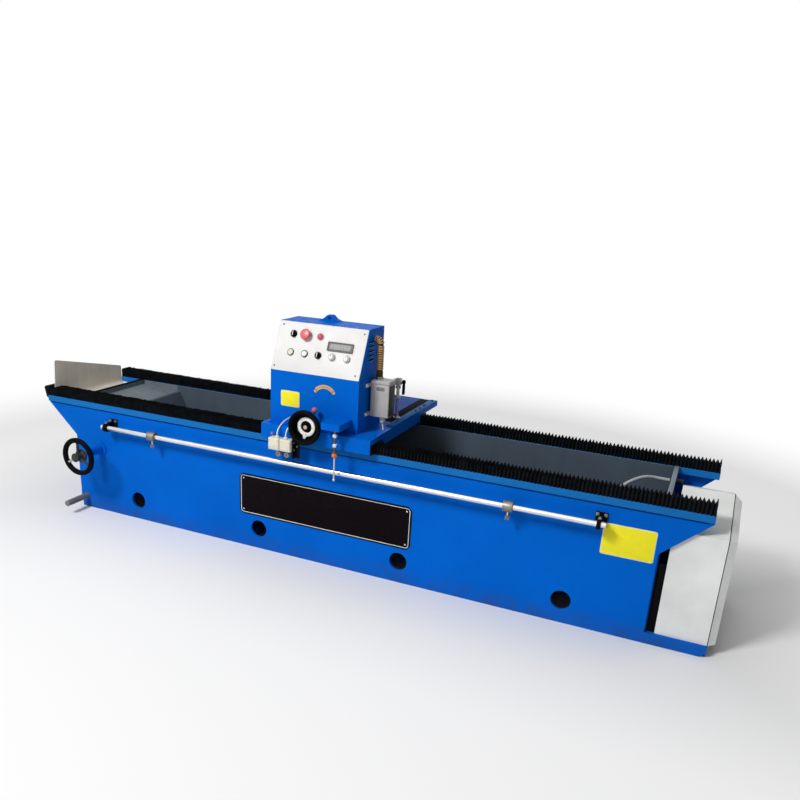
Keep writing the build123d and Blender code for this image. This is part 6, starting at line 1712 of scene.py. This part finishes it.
class TrimOperator(GrinderOperator, bpy.types.Operator):
    """Adds seals, painted shadow lines under the beams, black sheets beside the end cover as painted shade,
    the cover's seam, louvre lips in a lighter painted highlight, a black sheet of painted shade and a lighter
    strip of painted light on the saddle, small screws and motor cowls
    """

    bl_idname = "grinder.trim"
    bl_label = "Seals and screws"

    SEAL = (0.024, 0.476, 0.004)
    SEAL_X = -1.5075
    # Corner of the splash guard: its outline in Y and Z
    PATCH = ((-0.2420, 0.6250), (-0.2420, 0.6560), (-0.2700, 0.6560), (-0.2520, 0.6480))
    PATCH_X = -1.6152
    # Heights of the black sheets beside the end cover: painted shade for the gaps there
    GAP_SHADE_LOW = 0.050
    GAP_SHADE_TOP = 0.355
    CAPPING = (0.0190, 0.484, 0.0200)
    WIPER = (0.0030, 0.1250, 0.046)
    WIPER_ENDS = (-0.3030, 0.2530)
    WIPER_Y = -0.3000
    WIPER_Z = 0.6255
    LOUVRE_SIDE = 0.158
    LOUVRE_TOP = 1.070
    LOUVRE_FRONT = -0.215
    LOUVRE_LENGTH = 0.055
    LOUVRE_PITCH = 0.020
    LOUVRE_COUNT = 5
    EAVES_DROP = 0.091
    SEAM_WIDTH = 0.0030
    # Black sheet on the saddle's top as painted shade, and a lighter strip at its edge as painted light
    SHADE_SHEET = (0.052, 0.500, 0.0020)
    SHADE_SHEET_PLACE = (0.187, 0.225)
    LIT_STRIP = (0.038, 0.590, 0.0044)
    LIT_STRIP_Y = 0.190
    SADDLE_SCREWS = (-0.345, -0.285, 0.225, 0.285, 0.345, 0.465)
    # Motors with fan cowls: the body that carries each, and its radius
    COWLS = (("gearmotor", "carriage", 0.064), ("motor", "head", 0.085))
    COWL_RINGS = 5
    COWL_SEAM = 0.046
    TERMINAL_BOX = (0.042, 0.066, 0.078)
    TERMINAL_DROP = 0.105

    def execute(self, context):
        self.seal()
        self.wipers()
        self.bed_joints()
        self.louvre_lips()
        self.cover_seam()
        self.saddle_top()
        self.saddle_screws()
        self.column_screws()
        self.motor_cowls()
        return {"FINISHED"}

    def seal(self):
        piece = Piece("bulkhead_seal")
        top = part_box("trough_liner")[1].z
        piece.add(block(self.SEAL, 0.0012), at(self.SEAL_X, 0, top + 0.0021), "seal_black")
        patch = flat_plate(self.PATCH, 0.0020, edge=0.0003)
        piece.add(patch, facing((self.PATCH_X, 0, 0), RIGHT), "guard_sheet")
        piece.done("root", "bellows_cloth")

    def bed_joints(self):
        """Painted shadow lines under the beams, black sheets beside the end cover as painted shade for the
        gaps, and a capping on the right bulkhead.
        """
        piece = Piece("bed_joints")
        beams, beams_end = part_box("rail_beams")
        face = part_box("side_plates")[1].y
        cover, cover_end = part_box("end_cover")
        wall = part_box("bulkheads")[1]
        for side in (-1, 1):
            # Dark blue line on each side plate under the beam: a painted shadow of the beam's overhang
            line = block((2 * beams_end.x - 0.040, 0.0012, 0.008), 0.0003, 1)
            piece.add(line, at(0, side * (face + 0.0003), beams.z - 0.0041), "joint_blue")
            # Black sheet across the gap beside the end cover: painted shade for that gap
            joint = block((cover.x - wall.x + 0.004, 0.003, self.GAP_SHADE_TOP - self.GAP_SHADE_LOW), 0.0006)
            height = (self.GAP_SHADE_TOP + self.GAP_SHADE_LOW) / 2
            piece.add(joint, at((wall.x + cover.x) / 2, side * (cover_end.y - 0.006), height), "seal_black")
        piece.add(block(self.CAPPING, 0.0014), at(wall.x - 0.0075, 0, wall.z - 0.0050), "sheet_slate")
        piece.done("root", "liner_grey")

    def wipers(self):
        """Black wipers at both ends of the saddle, over the front beam."""
        piece = Piece("saddle_wipers")
        for end in self.WIPER_ENDS:
            piece.add(block(self.WIPER, 0.0008), at(end, self.WIPER_Y, self.WIPER_Z), "seal_black")
        piece.done("carriage", "black_plastic")

    def louvre_lips(self):
        """Pressed lips under the louvres in the right side of the control box, in a lighter blue as a painted
        highlight on the shaded side.
        """
        piece = Piece("louvre_lips")
        for k in range(self.LOUVRE_COUNT):
            lip = block((0.0050, self.LOUVRE_LENGTH, 0.0030), 0.0010)
            height = self.LOUVRE_TOP - k * self.LOUVRE_PITCH - 0.0042
            middle = self.LOUVRE_FRONT + self.LOUVRE_LENGTH / 2
            piece.add(lip, at(self.LOUVRE_SIDE + 0.0015, middle, height), "lip_blue")
        piece.done("carriage", "blue_paint")

    def cover_seam(self):
        """Dark joint between the end cover and its cap, along the cover's outline."""
        piece = Piece("cover_seam")
        low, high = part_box("end_cover")
        eaves = high.z - self.EAVES_DROP
        line = [(low.y, low.z), (low.y, eaves), (0, high.z), (high.y, eaves), (high.y, low.z)]
        shape = bmesh.new()
        rows = []
        for grow in (0.0004, -0.0010):
            points = [(y * (1 + grow / high.y), z + grow if z > low.z else z) for y, z in line]
            rows.append([shape.verts.new((high.x, y, z)) for y, z in points])
        for k in range(len(line) - 1):
            shape.faces.new((rows[0][k], rows[0][k + 1], rows[1][k + 1], rows[1][k]))
        verts = extruded(bmesh.ops.extrude_face_region(shape, geom=list(shape.faces)))[0]
        bmesh.ops.translate(shape, vec=(-self.SEAM_WIDTH, 0, 0), verts=verts)
        bmesh.ops.recalc_face_normals(shape, faces=shape.faces)
        piece.add(shape, HERE, "seal_black")
        piece.done("root", "bellows_cloth")

    def saddle_top(self):
        """Black sheet on the saddle's top as painted shade, and a lighter edge strip as painted light, to the
        right of the control box.
        """
        piece = Piece("saddle_apron")
        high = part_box("saddle")[1]
        piece.add(block(self.SHADE_SHEET, 0.0006), at(*self.SHADE_SHEET_PLACE, high.z + 0.0009), "seal_black")
        strip = block(self.LIT_STRIP, 0.0012)
        piece.add(strip, at(high.x - 0.0195, self.LIT_STRIP_Y, high.z + 0.0021), "beam_enamel")
        piece.done("carriage", "beam_paint")

    def saddle_screws(self):
        piece = Piece("saddle_screws")
        low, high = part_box("saddle")
        for x in (low.x + 0.030, high.x - 0.020):
            for y in self.SADDLE_SCREWS:
                # Screws on the strip take its lighter blue, which is painted light
                on_strip = x > 0 and y > 0
                top = high.z + (0.0042 if on_strip else 0)
                finish = "beam_enamel" if on_strip else "bed_enamel"
                piece.add(socket_screw(0.0060, 0.0045), facing((x, y, top), UPWARD), finish)
        piece.done("carriage", "blue_paint")

    def column_screws(self):
        piece = Piece("gearcase_screws")
        low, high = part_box("gearmotor")
        middle = (low + high) / 2
        for aside, back in corners(0.050, 0.050):
            spot = facing((middle.x + aside, middle.y + back, low.z + 0.090), UPWARD)
            piece.add(socket_screw(0.0050, 0.0050), spot, "dark_steel")
        piece.done("carriage", "dark_steel")

    def motor_cowls(self):
        """Grilles and seams of the two fan cowls, and the terminal box of the gear motor."""
        for name, body, radius in self.COWLS:
            low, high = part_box(name)
            middle = (low + high) / 2
            piece = Piece(name + "_cowl")
            top = facing((middle.x, middle.y, high.z - 0.0004), UPWARD)
            for k in range(self.COWL_RINGS):
                inner = radius * (0.14 + 0.155 * k)
                piece.add(ring(inner, inner + 0.0036, 0, 0.0022, 0.0008), top, "motor_dark")
            piece.add(dome(radius * 0.10, 0.0026), top, "motor_dark")
            seam = ring(radius - 0.0012, radius + 0.0011, 0, 0.0030, 0.0006, 72)
            piece.add(seam, top @ at(0, 0, -self.COWL_SEAM), "motor_dark")
            if name == "gearmotor":
                self.terminal_box(piece, middle.x - radius - 0.013, middle.y, high.z - self.TERMINAL_DROP)
            piece.done(body, "blue_paint")

    def terminal_box(self, piece, x, y, z):
        """Small cast box with a screwed lid and a cable gland below."""
        depth, width, height = self.TERMINAL_BOX
        piece.add(block(self.TERMINAL_BOX, 0.0040, 3), at(x, y, z), "motor_enamel")
        face = facing((x - depth / 2, y, z), LEFT)
        lid = flat_plate(rectangle(width + 0.004, height + 0.004), 0.0050, 0.006, 0.0010)
        piece.add(lid, face, "motor_enamel")
        for aside, rise in corners(width / 2 - 0.006, height / 2 - 0.006):
            piece.add(socket_screw(0.0032, 0.0024), face @ at(aside, rise, 0.0046), "zinc")
        gland = facing((x, y, z - height / 2 + 0.001), DOWNWARD)
        piece.add(hexagon(0.0110, 0.0070), gland, "black_plastic")
        piece.add(dome(0.0085, 0.0080, 0.0030), gland @ at(0, 0, 0.0065), "black_plastic")


OPERATORS = (
    StageOperator,
    FinishesOperator,
    HoseOperator,
    BellowsOperator,
    PanelOperator,
    ButtonsOperator,
    FeedOperator,
    SwitchOperator,
    TripOperator,
    JunctionOperator,
    CoolantOperator,
    TiltWheelOperator,
    PlatesOperator,
    TrimOperator,
)


class GRINDER_PT_pieces(bpy.types.Panel):
    """Lists the machine's pieces in the sidebar"""

    bl_label = "Knife grinding machine"
    bl_space_type = "VIEW_3D"
    bl_region_type = "UI"
    bl_category = "Grinder"

    def draw(self, context):
        for operator in OPERATORS:
            self.layout.operator(operator.bl_idname)


GROUPS = {"grinder_colours": GrinderColours, "grinder_sizes": GrinderSizes, "grinder_stage": GrinderStage}


def register():
    for group in GROUPS.values():
        bpy.utils.register_class(group)
    for operator in OPERATORS:
        bpy.utils.register_class(operator)
    bpy.utils.register_class(GRINDER_PT_pieces)
    for name, group in GROUPS.items():
        setattr(bpy.types.Scene, name, PointerProperty(type=group))


def unregister():
    for name in GROUPS:
        delattr(bpy.types.Scene, name)
    bpy.utils.unregister_class(GRINDER_PT_pieces)
    for operator in reversed(OPERATORS):
        bpy.utils.unregister_class(operator)
    for group in GROUPS.values():
        bpy.utils.unregister_class(group)


def main():
    register()
    for operator in OPERATORS:
        group, name = operator.bl_idname.split(".")
        getattr(getattr(bpy.ops, group), name)()


if __name__ == "__main__":
    main()
